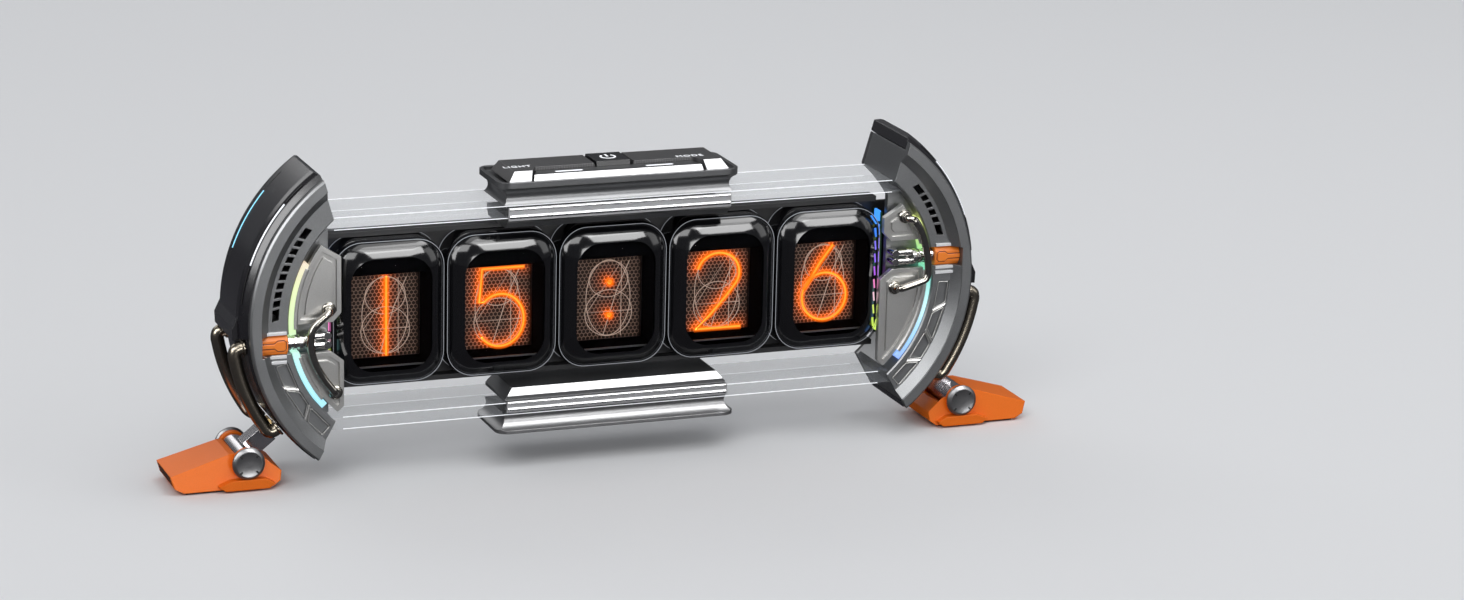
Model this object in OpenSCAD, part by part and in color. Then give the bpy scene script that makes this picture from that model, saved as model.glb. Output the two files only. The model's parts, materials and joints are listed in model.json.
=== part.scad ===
// Desk clock: five glass digit cells in a row between two arched end brackets.
// Two clear plates tie the brackets together and each carries a clamped bar.
// X runs to the viewer's right, Y runs away from the viewer, Z is up.
// Origin: on the desk, under the middle of the clock. All sizes in millimetres.

/* [Digit cells] */
// Spacing of the five cells
cell_pitch = 36.6; // [35:0.2:42]
// Height of a glass cell
cell_h = 46; // [42:0.5:47]
// Corner radius of a glass cell seen from the front
cell_corner = 8.5; // [7:0.5:11]
// Wall of a glass cell
cell_wall = 1.6; // [1.2:0.1:2]
// Width of the lit window
window_w = 22.4; // [18:0.2:25]
// Height of the lit window
window_h = 26.9; // [22:0.2:30]

/* [Brackets] */
// How far the rim radius exceeds the cell height
arch_over = 9; // [8:0.5:12]
// Depth of a bracket from front to rear
bracket_depth = 31; // [30:0.5:36]
// Reach of the arch above its centre in degrees
arc_up = 56; // [54:0.5:60]
// Reach of the arch below its centre in degrees
arc_down = 53; // [51:0.5:54]
// How far each orange plug sits off the arch centre
plug_shift = 6.3; // [5.5:0.1:7]
// Diameter of the pipes outside the arch
pipe_d = 4.2; // [3.4:0.1:4.6]

/* [Plates and bars] */
// Room between the cells and each clear plate
plate_clear = 6.8; // [6.4:0.1:8]
// Thickness of the clear plates
plate_t = 3.8; // [3:0.1:4.2]
// Depth of the clear plates
plate_d = 23; // [21:0.5:24]
// Length of the flanged bars
bar_l = 79.4; // [76:0.2:90]
// Depth of the flanged bars
bar_d = 25; // [24:0.5:28]

/* [Keys] */
// Press travel of the three keys
key_travel = 0.8; // [0.5:0.1:0.9]
// Slack around a key stem in its bore
stem_slack = 0.08; // [0.04:0.01:0.1]

/* [Feet] */
// Height of the hinge pins over the desk
pin_z = 8.8; // [8.6:0.1:10]
// Reach of the hinge pins beyond the rim
leg_out = 15; // [14:0.5:18]
// Reach of a foot outward from its pin
foot_reach = 24; // [20:0.5:30]
// Width of a foot from front to rear
foot_w = 20.8; // [18:0.2:23]
// Diameter of the hinge pin
pin_d = 4; // [3:0.2:4.6]
// Diameter of the pin heads
head_d = 10.2; // [9:0.2:11]
// Slack around the pin in the leg barrel
pin_slack = 0.06; // [0.03:0.01:0.1]
// Swing a foot has room for, each way, in degrees
foot_swing = 16; // [8:1:18]

/* [Hidden] */
$fn = 72;
eps = 0.02;
gap = 0.2;
half_turn = 180;
row_half = cell_pitch * 2.5;
leg_deg = -38.5;
arc_r = cell_h + arch_over;
arc_z = pin_z - (arc_r + leg_out) * sin(leg_deg);
plate_gap = cell_h + 2 * plate_clear;
arc_x = row_half - (arc_r - 28.1);
rim_in = arc_r - 3.6;
wall_out = arc_r - 2.6;
wall_in = arc_r - 4.6;
cove_in = arc_r - 6.4;
band_r = arc_r - 12.8;
lip_r = band_r + 2;
guide_r = band_r - gap;
guide_w = 2.1;
trim_r = guide_r - guide_w - 0.3;
shell_in = wall_out + 0.3;
crown_r = arc_r + 2.6;
lower_r = arc_r + 0.6;
pipe_r = arc_r + 4.2;
tip_deg = 10;
tip_lean_up = 74;
tip_lean_down = 61;
nose_lean = (tip_lean_up + arc_up) / 2 - 45;
nose_cut = 1.4;

y_front = -bracket_depth / 2;
y_rear = bracket_depth / 2;
y_rim = y_front + 2.6;
y_band = y_front + 3.2;
y_band_in = y_front + 5.7;
y_guide = y_front + 3.8;
y_trim = y_front + 4.5;
trim_t = 2;
y_web = y_front + 9.1;
web_t = 2.2;
y_cell = y_front + 6;
y_screen = y_front + 15;
y_tray = y_front + 19.5;
tray_t = 2;
y_board = y_tray + tray_t + 2.5;
board_t = 1.6;
cover_t = 2;
y_cover = y_rear - cover_t;
y_hose = y_front + 5.3;
y_handle = y_front + 1.2;
y_plate = y_front + 4.5;

cell_gap = 0.4;
cell_w = cell_pitch - cell_gap;
cell_z = arc_z - 0.4;
window_z = arc_z - 2.4;
edge_r = 6;
plate_mid = arc_z - 1.5;
plate_hi = plate_mid + plate_gap / 2;
plate_lo = plate_mid - plate_gap / 2;
web_x = arc_x + arc_r - 26.8;
trim_x = arc_x + arc_r - 30.5;
tray_x = arc_x + arc_r - 21;
post_x = arc_x + arc_r - 23.5;
post_dz = 14;
post_r = 2.8;
trim_post_r = 1.4;
screw_r = 1.2;
screw_slack = 0.1;
screw_head_r = 2.2;
screw_head_h = 1.2;

plug_w = 6;
plug_l = 8.4;
plug_in = band_r + 0.5;
plug_front = y_band - 0.9;
plug_back = y_band + 3.1;
hose_r = 2.3;
tube_r = 1.1;
tube_dz = 1.45;
handle_r = 1.2;
grommet_r = 2.2;
plate_upper_dz = 5.7;
plate_lower_dz = -3.7;

bar_hi = plate_hi + plate_t;
flange_t = 2.1;
flange_hi = bar_hi + 7.6;
cove_r = 3.4;
cove_off = 0.5;
neck_in = cove_r - cove_off;
cove_z = 2.5;
bar_corner = 4;
lip_w = 1.2;
key_floor = flange_hi - 1.3;
top_wall = 1.5;
clamp_h = plate_clear - 3.1;
bar_wall = 2.2;
key_under = key_floor + key_travel + 0.2;
key_top = flange_hi + 2.8;
stem_r = 2;
stem_x = 22;
stem_y = 1.5;
switch_h = 1.2;
button_board_t = 1.2;
button_board_z = key_floor - top_wall - 0.3 - switch_h - button_board_t;
bar_screw_x = bar_l / 2 - 6.7;
bar_screw_r = 1.3;
flange_lo = plate_lo - plate_t - 6;
block_h = 4.2;

pin_x = arc_x + (arc_r + leg_out) * cos(leg_deg);
barrel_r = 4;
barrel_l = foot_w - 4.2;
cheek_slack = 0.2;
head_t = 2;
pad_t = 0.9;
pad_in = 6.8;
pad_bottom = 0;
foot_bottom = 0.7;
saddle_slack = 0.35;
skirt_t = 1.8;
foot_lean = 2.4;
pin_fit = 0.05;

// Helpers

// Keeps a piece on the right, or mirrors it to the left
module on_side(side) {
    if (side < 0)
        mirror([1, 0, 0]) children();
    else
        children();
}

// Box given by its limits on each axis
module box(x, y, z) {
    translate([x[0], y[0], z[0]])
        cube([x[1] - x[0], y[1] - y[0], z[1] - z[0]]);
}

// Flat outline in X and Z given thickness along Y
module slab(y1, y2) {
    translate([0, y2, 0])
        rotate([90, 0, 0])
            linear_extrude(height = y2 - y1)
                children();
}

// Round bar along Y
module rod_y(x, z, r, y1, y2) {
    translate([x, y2, z])
        rotate([90, 0, 0])
            cylinder(r = r, h = y2 - y1);
}

// Round bar along X
module rod_x(y, z, r, x1, x2) {
    translate([x1, y, z])
        rotate([0, 90, 0])
            cylinder(r = r, h = x2 - x1);
}

// Round bar upright
module rod_z(x, y, r, z1, z2) {
    translate([x, y, z1])
        cylinder(r = r, h = z2 - z1);
}

// Section of radius and Y swept round the right arch centre
module sweep(section, a1, a2) {
    translate([arc_x, 0, arc_z])
        rotate([90, 0, 0])
            rotate([0, 0, a1])
                rotate_extrude(angle = a2 - a1, $fn = 180)
                    polygon([for (p = section) [p[0], -p[1]]]);
}

// Point of the right arch face at a radius and an angle
function at_arc(r, a) = [arc_x + r * cos(a), arc_z + r * sin(a)];

// Four sided patch of the right arch face
function patch(r1, r2, a1, a2, b1, b2) =
    [at_arc(r1, a1), at_arc(r2, b1), at_arc(r2, b2), at_arc(r1, a2)];

// Rectangle with round corners about the origin
module round_rect(w, h, r) {
    square([w - 2 * r, h], center = true);
    square([w, h - 2 * r], center = true);
    for (sx = [-1, 1], sy = [-1, 1])
        translate([sx * (w / 2 - r), sy * (h / 2 - r)])
            circle(r = r);
}

// Depth profile with its two front corners rounded
module round_front(w, y1, y2, r) {
    translate([-w / 2, y1 + r])
        square([w, y2 - y1 - r]);
    translate([-w / 2 + r, y1])
        square([w - 2 * r, y2 - y1]);
    for (s = [-1, 1])
        translate([s * (w / 2 - r), y1 + r])
            circle(r = r);
}

// Block rounded in front view, plan view and side view
module pillow(w, h, corner, y1, y2, r) {
    intersection() {
        slab(y1, y2) round_rect(w, h, corner);
        translate([0, 0, -h / 2 - 1])
            linear_extrude(height = h + 2)
                round_front(w, y1, y2, r);
        translate([-w / 2 - 1, 0, 0])
            rotate([0, 90, 0])
                linear_extrude(height = w + 2)
                    round_front(h, y1, y2, r);
    }
}

// Brackets

// Open channel of the arch: rim, cove, front band and inner wall
arch_section = concat(
    [[rim_in, y_front], [arc_r - 0.6, y_front], [arc_r, y_front + 0.6], [arc_r, y_rim]],
    [[wall_out, y_rim], [wall_out, y_cover], [wall_in, y_cover], [wall_in, y_band_in]],
    [[lip_r, y_band_in], [lip_r, y_cover], [band_r, y_cover], [band_r, y_band + 0.4]],
    [[band_r + 0.4, y_band], [cove_in, y_band]],
    [for (a = [15:15:75]) [rim_in - (rim_in - cove_in) * cos(a), y_band - (y_band - y_front - 0.5) * (1 - cos(a))]],
    [[rim_in, y_front + 0.5]]
);

// Solid section that closes the two tips
tip_section = [
    [band_r + 0.1, y_band + 0.5], [wall_out - 0.1, y_band + 0.5], [wall_out - 0.1, y_cover - 0.1], [band_r + 0.1, y_cover - 0.1]
];

boss_r = 2.9;
boss_at = (lip_r + wall_in) / 2;
boss_up = asin((plate_hi - boss_r - 1.2 - arc_z) / boss_at);
cover_bosses = [boss_up, 0, -40];

// Slots through the upper band, the two end ones longer
module vents(count, bottom) {
    pitch = 3.5;
    wide = 2.5;
    longer = 2;
    for (i = [0:count - 1]) {
        a1 = bottom + i * pitch + (i > 0 ? longer : 0);
        a2 = a1 + wide + ((i == 0 || i == count - 1) ? longer : 0);
        slab(y_band - 1, y_band_in + 1)
            polygon(patch(band_r + 3.2, band_r + 5.3, a1, a2, a1 - 0.8, a2 - 0.8));
    }
}

// Shallow slanted panels of the lower band
module panels(count, top) {
    depth = 0.9;
    last = -arc_down + 3.4;
    pitch = (top - last) / count;
    slant = 1.7;
    margin = 0.7;
    for (i = [0:count - 1]) {
        s1 = (i == 0) ? 0 : slant * (i % 2 == 0 ? 1 : -1);
        s2 = (i == count - 1) ? 0 : slant * (i % 2 == 0 ? -1 : 1);
        a1 = top - i * pitch - margin;
        a2 = top - (i + 1) * pitch + margin;
        slab(y_band - 1, y_band + depth)
            polygon(patch(band_r + 2, cove_in - 0.2, a1 + s1, a2 + s2, a1 - s1, a2 - s2));
    }
}

// Room beyond the two slanted end faces of an arch
module tip_room() {
    far = 60;
    high = at_arc(arc_r, arc_up - 1.2);
    low = at_arc(arc_r, -arc_down + 0.9);
    nose = high + (crown_r - arc_r) * 1.06 * [cos(tip_lean_up), sin(tip_lean_up)];
    translate([nose[0], 0, nose[1]])
        rotate([0, -nose_lean, 0])
            box([-far, far], [-far, far], [-nose_cut, far]);
    translate([high[0], 0, high[1]])
        rotate([0, -tip_lean_up, 0])
            box([-far, far], [-far, far], [0, far]);
    translate([low[0], 0, low[1]])
        rotate([0, tip_lean_down, 0])
            box([-far, far], [-far, far], [-far, 0]);
}

// Slots that take the ends of the clear plates
module plate_slots() {
    for (z = [plate_hi, plate_lo - plate_t])
        box([0, plate_end(z) + gap], [y_plate - gap / 2, y_plate + plate_d + gap / 2],
            [z - gap / 2, z + plate_t + gap / 2]);
}

// Half length of a clear plate lying at a height
function plate_end(z) =
    arc_x + 0.6 + sqrt(pow(lip_r, 2) - pow(min(abs(z - arc_z), abs(z + plate_t - arc_z)), 2));

module bracket(dz, vent_count, vent_bottom, panel_count, panel_top) {
    plug_z = arc_z + dz;
    pocket_x = [arc_x + sqrt(pow(band_r, 2) - pow(plug_shift, 2)) - 1, arc_x + plug_in + plug_l + gap];
    difference() {
        union() {
            difference() {
                union() {
                    sweep(arch_section, -arc_down, arc_up);
                    sweep(tip_section, arc_up - tip_deg, arc_up + 1);
                    sweep(tip_section, -arc_down - 1, -arc_down + tip_deg);
                }
                tip_room();
            }
            intersection() {
                rod_y(arc_x, arc_z, band_r + 0.5, y_web, y_web + web_t);
                box([web_x, arc_x + arc_r], [y_web, y_web + web_t], [plate_lo + 0.6, plate_hi - 0.6]);
            }
            for (a = cover_bosses)
                rod_y(at_arc(boss_at, a)[0], at_arc(boss_at, a)[1], boss_r, y_band_in - eps, y_cover);
            for (s = [-1, 1])
                rod_y(post_x, arc_z + s * post_dz, post_r, y_web + web_t - eps, y_tray);
            for (h = trim_posts(dz))
                rod_y(h[0], h[1], trim_post_r, y_trim + trim_t, y_web + eps);
            box([arc_x + lip_r - 0.5, arc_x + wall_in + 0.5], [y_band_in - eps, plug_back + 1.5],
                [plug_z - plug_w / 2 - 1.2, plug_z + plug_w / 2 + 1.2]);
            for (h = [plug_w / 2 + 0.7, -plug_w / 2 - 0.7, -plug_w / 2 - 2.4])
                box([arc_x + band_r + 0.8, arc_x + rim_in - 1.6], [y_band - 0.6, y_band + eps],
                    [plug_z + h - 0.45, plug_z + h + 0.45]);
        }
        plate_slots();
        vents(vent_count, vent_bottom);
        panels(panel_count, panel_top);
        box(pocket_x, [y_front - 1, plug_back], [plug_z - plug_w / 2 - 0.1, plug_z + plug_w / 2 + 0.1]);
        rod_x(y_hose, plug_z, hose_r + gap, pocket_x[0] - 1, arc_x + plug_in + gap);
        for (a = cover_bosses)
            rod_y(at_arc(boss_at, a)[0], at_arc(boss_at, a)[1], screw_r + screw_slack, y_cover - 7, y_cover + 1);
        for (s = [-1, 1])
            rod_y(post_x, arc_z + s * post_dz, screw_r + screw_slack, y_tray - 6, y_tray + 1);
        stud_hole();
    }
}

// Places of the posts that carry the inner trim plates
function trim_posts(dz) = [
    [trim_x + 7, arc_z + dz + plate_upper_dz + 3.6],
    [trim_x + 7, arc_z + dz + plate_lower_dz - 4.6],
    [trim_x + 7, arc_z - 20.8],
    [trim_x + 7, arc_z + (dz < 0 ? 16 : 20.4)]
];

stud_r = 1.5;

// Radial bore for the stud of a leg
module stud_hole() {
    translate([arc_x, 0, arc_z])
        rotate([0, 90 - leg_deg, 0])
            translate([0, 0, wall_in - 1])
                cylinder(r = stud_r + 0.1, h = 8);
}

module left_bracket() {
    color([0.36, 0.37, 0.38]) on_side(-1) bracket(-plug_shift, 10, 2, 3, -15);
}

module right_bracket() {
    color([0.36, 0.37, 0.38]) on_side(1) bracket(plug_shift, 6, 17, 4, -2);
}

// Crowned section of the shell above its collar
shell_upper = [
    [shell_in, y_rim + 0.1], [arc_r, y_rim + 0.1], [arc_r + 1.5, y_rim + 1.6], [crown_r - 0.3, y_rim + 3.4],
    [crown_r, y_rim + 5.4], [crown_r, y_rear - 3.4], [crown_r - 0.4, y_rear - 1.6], [arc_r + 1.1, y_rear],
    [shell_in, y_rear]
];

// Flat section of the shell below its collar
shell_lower = [
    [shell_in + 0.1, y_rim + 0.2], [arc_r - 0.3, y_rim + 0.2], [lower_r, y_rim + 1.4],
    [lower_r, y_rear - 1.6], [lower_r - 0.8, y_rear - 0.2], [shell_in + 0.1, y_rear - 0.2]
];

collar_deg = -4;
collar_out = 1.5;
collar_side = [
    at_arc(crown_r - 1.5, 6), at_arc(crown_r + collar_out, -1), at_arc(crown_r + collar_out, collar_deg - 0.5),
    at_arc(crown_r - 1.5, collar_deg - 0.5)
];

module shell() {
    difference() {
        union() {
            sweep(shell_upper, collar_deg, arc_up);
            sweep(shell_lower, -arc_down, collar_deg + 1);
            slab(y_rim + 4, y_rear - 2.2) polygon(collar_side);
        }
        stud_hole();
        tip_room();
    }
}

module left_shell() {
    color([0.16, 0.15, 0.18]) on_side(-1) shell();
}

module right_shell() {
    color([0.16, 0.15, 0.18]) on_side(1) shell();
}

cover_section = [
    [band_r, y_cover], [wall_out, y_cover], [wall_out, y_rear - 0.5],
    [wall_out - 0.5, y_rear], [band_r + 0.5, y_rear], [band_r, y_rear - 0.5]
];

module rear_cover() {
    difference() {
        sweep(cover_section, -arc_down, arc_up);
        tip_room();
        for (a = cover_bosses) {
            rod_y(at_arc(boss_at, a)[0], at_arc(boss_at, a)[1], screw_r + screw_slack, y_cover - 1, y_rear + 1);
            rod_y(at_arc(boss_at, a)[0], at_arc(boss_at, a)[1], screw_head_r + 0.2,
                y_rear - screw_head_h, y_rear + 1);
        }
    }
}

module left_rear_cover() {
    color([0.12, 0.12, 0.13]) on_side(-1) rear_cover();
}

module right_rear_cover() {
    color([0.12, 0.12, 0.13]) on_side(1) rear_cover();
}

guide_up = 27;
guide_down = -41;

// Light strip behind the band, let back where the hose crosses it
module guide(dz) {
    inner = guide_r - guide_w;
    difference() {
        sweep([[inner, y_guide], [guide_r, y_guide], [guide_r, y_web], [inner, y_web]], guide_down, guide_up);
        box([arc_x + inner - 2, arc_x + guide_r + 2], [y_guide - 1, y_hose + hose_r + 0.3],
            [arc_z + dz - hose_r - 0.5, arc_z + dz + hose_r + 0.5]);
    }
}

module left_guide() {
    color([0.75, 0.95, 0.95]) on_side(-1) guide(-plug_shift);
}

module right_guide() {
    color([0.75, 0.95, 0.95]) on_side(1) guide(plug_shift);
}

// Outline of the trim plate over the hose, drawn in by e on its straight sides
function upper_trim_points(dz, e) = [
    [trim_x + 0.8 + e, arc_z + dz + plate_upper_dz + 2.8 + e * 0.4],
    [trim_x + 3.4 + e * 0.4, arc_z + dz + plate_upper_dz + e],
    [arc_x + arc_r, arc_z + dz + plate_upper_dz + e],
    [arc_x + arc_r, plate_hi + 9.5 - e * 1.2],
    [arc_x + arc_r - 22, plate_hi - 3.7 - e * 1.2],
    [trim_x + 0.8 + e, plate_hi - 8.5 - e * 0.6]
];

// Outline of the trim plate under the hose
function lower_trim_points(dz, e) = [
    [trim_x + e, arc_z + dz + plate_lower_dz - 3.2 - e * 0.4],
    [trim_x + e, plate_lo + 3.7 + e * 0.6],
    [trim_x + 3 + e * 0.4, plate_lo + 0.9 + e * 1.2],
    [arc_x + arc_r, plate_lo + 0.9 + e * 1.2],
    [arc_x + arc_r, arc_z + dz + plate_lower_dz - e],
    [trim_x + 4 + e * 0.4, arc_z + dz + plate_lower_dz - e]
];

// Flat trim outline ending at the light strip
module trim_outline(points, e, y1, y2) {
    intersection() {
        rod_y(arc_x, arc_z, trim_r - e, y1, y2);
        slab(y1, y2) polygon(points);
    }
}

line_out = 1.4;
line_in = 2.8;

// Trim plate with a sunk line inside its border
module trim(outer, line, middle) {
    depth = 0.8;
    difference() {
        trim_outline(outer, 0, y_trim, y_trim + trim_t);
        difference() {
            trim_outline(line, line_out, y_trim - 1, y_trim + depth);
            trim_outline(middle, line_in, y_trim - 2, y_trim + depth + 1);
        }
    }
}

module upper_trim(dz) {
    trim(upper_trim_points(dz, 0), upper_trim_points(dz, line_out), upper_trim_points(dz, line_in));
}

module lower_trim(dz) {
    trim(lower_trim_points(dz, 0), lower_trim_points(dz, line_out), lower_trim_points(dz, line_in));
}

module left_upper_trim() {
    color([0.62, 0.62, 0.6]) on_side(-1) upper_trim(-plug_shift);
}

module left_lower_trim() {
    color([0.62, 0.62, 0.6]) on_side(-1) lower_trim(-plug_shift);
}

module right_upper_trim() {
    color([0.62, 0.62, 0.6]) on_side(1) upper_trim(plug_shift);
}

module right_lower_trim() {
    color([0.62, 0.62, 0.6]) on_side(1) lower_trim(plug_shift);
}

// Course of each handle as X off the trim edge and Z off the plug
right_handle_course = [
    [8, 13.6], [10.2, 12.8], [12.2, 9.6], [13.9, 5], [14.9, 0.8], [15.4, -3.6], [15, -6.2], [13.4, -7.5], [5.2, -9.8]
];
left_handle_course = [
    [4.8, 9.8], [7.4, 8], [10, 5.5], [11.2, 2.8], [11.3, -1.2], [10.1, -5.9], [7.6, -10.7], [4.6, -14.8], [2.7, -16.8]
];

joint_swell = 1.08;

// Unit normal of the step from one point of a flat course to the next
function step_normal(p, i) = [p[i][1] - p[i + 1][1], p[i + 1][0] - p[i][0]] / norm(p[i + 1] - p[i]);

// Offset direction at a point of a flat course, mitred where two steps meet
function mitre(p, i) =
    let (last = len(p) - 1)
    let (a = step_normal(p, max(i - 1, 0)))
    let (b = step_normal(p, min(i, last - 1)))
    (a + b) / (1 + a * b);

// Flat course given a width
module stroke(p, half) {
    last = len(p) - 1;
    polygon(concat(
        [for (i = [0:last]) p[i] + half * mitre(p, i)],
        [for (i = [last:-1:0]) p[i] - half * mitre(p, i)]
    ));
}

// Bent bar over the hose with a round grommet at each end
module handle(course, dz) {
    flat = 0.5;
    pts = [for (p = course) [trim_x + p[0], arc_z + dz + p[1]]];
    ends = [pts[0], pts[len(pts) - 1]];
    slab(y_handle - handle_r * flat, y_handle + handle_r * flat) stroke(pts, handle_r);
    slab(y_handle - handle_r, y_handle + handle_r) stroke(pts, handle_r * flat);
    for (p = ends) {
        rod_y(p[0], p[1], handle_r + 0.3, y_handle - handle_r * flat, y_trim - eps);
        rod_y(p[0], p[1], grommet_r, y_trim - 0.8, y_trim);
    }
}

module left_handle() {
    color([0.5, 0.49, 0.47]) on_side(-1) handle(left_handle_course, -plug_shift);
}

module right_handle() {
    color([0.5, 0.49, 0.47]) on_side(1) handle(right_handle_course, plug_shift);
}

// Coloured plug with a chamfered face and a sunk line
module plug(dz) {
    x1 = arc_x + plug_in;
    x2 = x1 + plug_l;
    z = arc_z + dz;
    difference() {
        translate([x1, 0, z])
            rotate([0, 90, 0])
                linear_extrude(height = plug_l)
                    polygon([
                        [-plug_w / 2, plug_back], [-plug_w / 2, plug_front + 1.2], [-plug_w / 2 + 1.4, plug_front],
                        [plug_w / 2 - 1.4, plug_front], [plug_w / 2, plug_front + 1.2], [plug_w / 2, plug_back]
                    ]);
        box([x1 + 3.4, x2 + 1], [plug_front - 1, plug_front + 0.3], [z - 0.2, z + 0.2]);
    }
}

module left_plug() {
    color([0.93, 0.36, 0.08]) on_side(-1) plug(-plug_shift);
}

module right_plug() {
    color([0.93, 0.36, 0.08]) on_side(1) plug(plug_shift);
}

hose_ribs = 4;

// Ribbed sleeve, its end ring and the two tubes that turn back into the web
module hose(dz) {
    z = arc_z + dz;
    x2 = arc_x + plug_in;
    x1 = x2 - 7;
    x_turn = web_x + 1.4;
    turn_r = tube_r * joint_swell;
    rod_x(y_hose, z, hose_r - 0.3, x1, x2);
    rod_x(y_hose, z, tube_dz + tube_r + 0.1, x1 - 0.4, x1 + 0.6);
    for (i = [0:hose_ribs - 1])
        rod_x(y_hose, z, hose_r, x1 + 0.2 + i * 1.8, x1 + 1.2 + i * 1.8);
    for (s = [-1, 1]) {
        rod_x(y_hose, z + s * tube_dz, tube_r, x_turn, x1);
        rod_x(y_hose, z + s * tube_dz, tube_r + 0.3, x1 - 2.4, x1 - 1.4);
        rod_y(x_turn, z + s * tube_dz, turn_r, y_hose - turn_r, y_web);
    }
}

module left_hose() {
    color([0.72, 0.72, 0.72]) on_side(-1) hose(-plug_shift);
}

module right_hose() {
    color([0.72, 0.72, 0.72]) on_side(1) hose(plug_shift);
}

pipe_y = [-9.2, 12.4];
pipe_top = -7.2;
pipe_low = -36.5;
pipe_foot = 1.1;

// Two pipes that leave the arch under the collar and run back into it
module pipes() {
    base_w = pipe_d / 2 + 0.6;
    base_deg = 2.8;
    for (y = pipe_y) {
        translate([arc_x, y, arc_z])
            rotate([90, 0, 0])
                rotate([0, 0, pipe_low])
                    rotate_extrude(angle = pipe_top - pipe_low, $fn = 180)
                        translate([pipe_r, 0])
                            circle(d = pipe_d, $fn = 48);
        for (a = [pipe_top, pipe_low]) {
            translate([at_arc(pipe_r, a)[0], y, at_arc(pipe_r, a)[1]]) {
                sphere(d = pipe_d * joint_swell, $fn = 48);
                rotate([0, -90 - a, 0])
                    cylinder(d = pipe_d, h = pipe_r - lower_r - 0.5);
            }
            sweep([
                [lower_r + gap, y - base_w], [lower_r + pipe_foot, y - base_w],
                [lower_r + pipe_foot, y + base_w], [lower_r + gap, y + base_w]
            ], a - base_deg, a + base_deg);
        }
    }
}

module left_pipes() {
    color([0.3, 0.28, 0.25]) on_side(-1) pipes();
}

module right_pipes() {
    color([0.3, 0.28, 0.25]) on_side(1) pipes();
}

// Clear plates

module clear_plate(z) {
    half = plate_end(z);
    difference() {
        box([-half, half], [y_plate, y_plate + plate_d], [z, z + plate_t]);
        for (s = [-1, 1])
            rod_z(s * bar_screw_x, 0, bar_screw_r + screw_slack, z - 1, z + plate_t + 1);
    }
}

module top_plate() {
    color([0.8, 0.82, 0.86, 0.5]) clear_plate(plate_hi);
}

module bottom_plate() {
    color([0.8, 0.82, 0.86, 0.5]) clear_plate(plate_lo - plate_t);
}

// Digit cells

function cell_x(i) = (i - 3) * cell_pitch;

// Hollow glass block, open at the rear
module cell(i) {
    translate([cell_x(i), 0, cell_z])
        difference() {
            pillow(cell_w, cell_h, cell_corner, y_cell, y_tray, edge_r);
            pillow(cell_w - 2 * cell_wall, cell_h - 2 * cell_wall, cell_corner - cell_wall,
                y_cell + cell_wall, y_tray + 2, edge_r - cell_wall);
        }
}

module cell_1() {
    color([0.1, 0.1, 0.11, 0.5]) cell(1);
}

module cell_2() {
    color([0.1, 0.1, 0.11, 0.5]) cell(2);
}

module cell_3() {
    color([0.1, 0.1, 0.11, 0.5]) cell(3);
}

module cell_4() {
    color([0.1, 0.1, 0.11, 0.5]) cell(4);
}

module cell_5() {
    color([0.1, 0.1, 0.11, 0.5]) cell(5);
}

display_t = 1.8;
mask_t = 0.4;

// Display panel with a raised mask round its window
module display(i) {
    w = cell_w - 2 * cell_wall - 2 * gap;
    h = cell_h - 2 * cell_wall - 2 * gap;
    translate([cell_x(i), 0, 0])
        difference() {
            translate([0, 0, cell_z])
                slab(y_screen - mask_t, y_screen + display_t)
                    round_rect(w, h, cell_corner - cell_wall);
            translate([0, 0, window_z])
                slab(y_screen - 1, y_screen)
                    square([window_w, window_h], center = true);
        }
}

module display_1() {
    color([0.3, 0.14, 0.06]) display(1);
}

module display_2() {
    color([0.3, 0.14, 0.06]) display(2);
}

module display_3() {
    color([0.3, 0.14, 0.06]) display(3);
}

module display_4() {
    color([0.3, 0.14, 0.06]) display(4);
}

module display_5() {
    color([0.3, 0.14, 0.06]) display(5);
}

// Inner frame and electronics

board_margin = 7.5;
standoff_in = 8;
corners = [[-1, -1], [-1, 1], [1, -1], [1, 1]];
rail_h = 1.6;
back_half = row_half - 6;
back_h = cell_h - 4;
board_half = back_half - board_margin;
board_h = back_h - 8;
standoff_x = board_half - standoff_in;
standoff_z = board_h / 2 - 5;
cover_screw_x = back_half - 4.5;
cover_screw_z = back_h / 2 - 4.5;

// Plate behind the cells with a rail above and below them
module cell_tray() {
    y2 = y_tray + tray_t;
    color([0.45, 0.46, 0.47])
        difference() {
            union() {
                box([-tray_x, tray_x], [y_tray, y2], [cell_z - cell_h / 2 + 1, cell_z + cell_h / 2 - 1]);
                for (i = [1:5])
                    box([cell_x(i) - 13, cell_x(i) + 13], [y_screen + display_t, y_tray + eps],
                        [cell_z - cell_h / 2 + 5, cell_z + cell_h / 2 - 5]);
                for (s = [-1, 1])
                    translate([0, 0, cell_z + s * (cell_h / 2 + rail_h / 2 + gap)])
                        box([-row_half, row_half], [y_tray - 4, y2], [-rail_h / 2, rail_h / 2]);
                for (s = [-1, 1])
                    translate([0, 0, cell_z + s * (cell_h / 2 - 0.3)])
                        box([-row_half, row_half], [y_tray, y2], [-1, 1]);
                for (c = corners)
                    rod_y(c[0] * standoff_x, cell_z + c[1] * standoff_z, 2.5, y2 - eps, y_board);
                for (c = corners)
                    rod_y(c[0] * cover_screw_x, cell_z + c[1] * cover_screw_z, 2.3, y2 - eps, y_cover - 0.6);
            }
            for (s = [-1, 1], t = [-1, 1])
                rod_y(s * post_x, arc_z + t * post_dz, screw_r + screw_slack, y_tray - 1, y2 + 1);
            for (c = corners)
                rod_y(c[0] * cover_screw_x, cell_z + c[1] * cover_screw_z, screw_r + screw_slack,
                    y2 + 1, y_cover + 1);
        }
}

led_count = 7;

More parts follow.
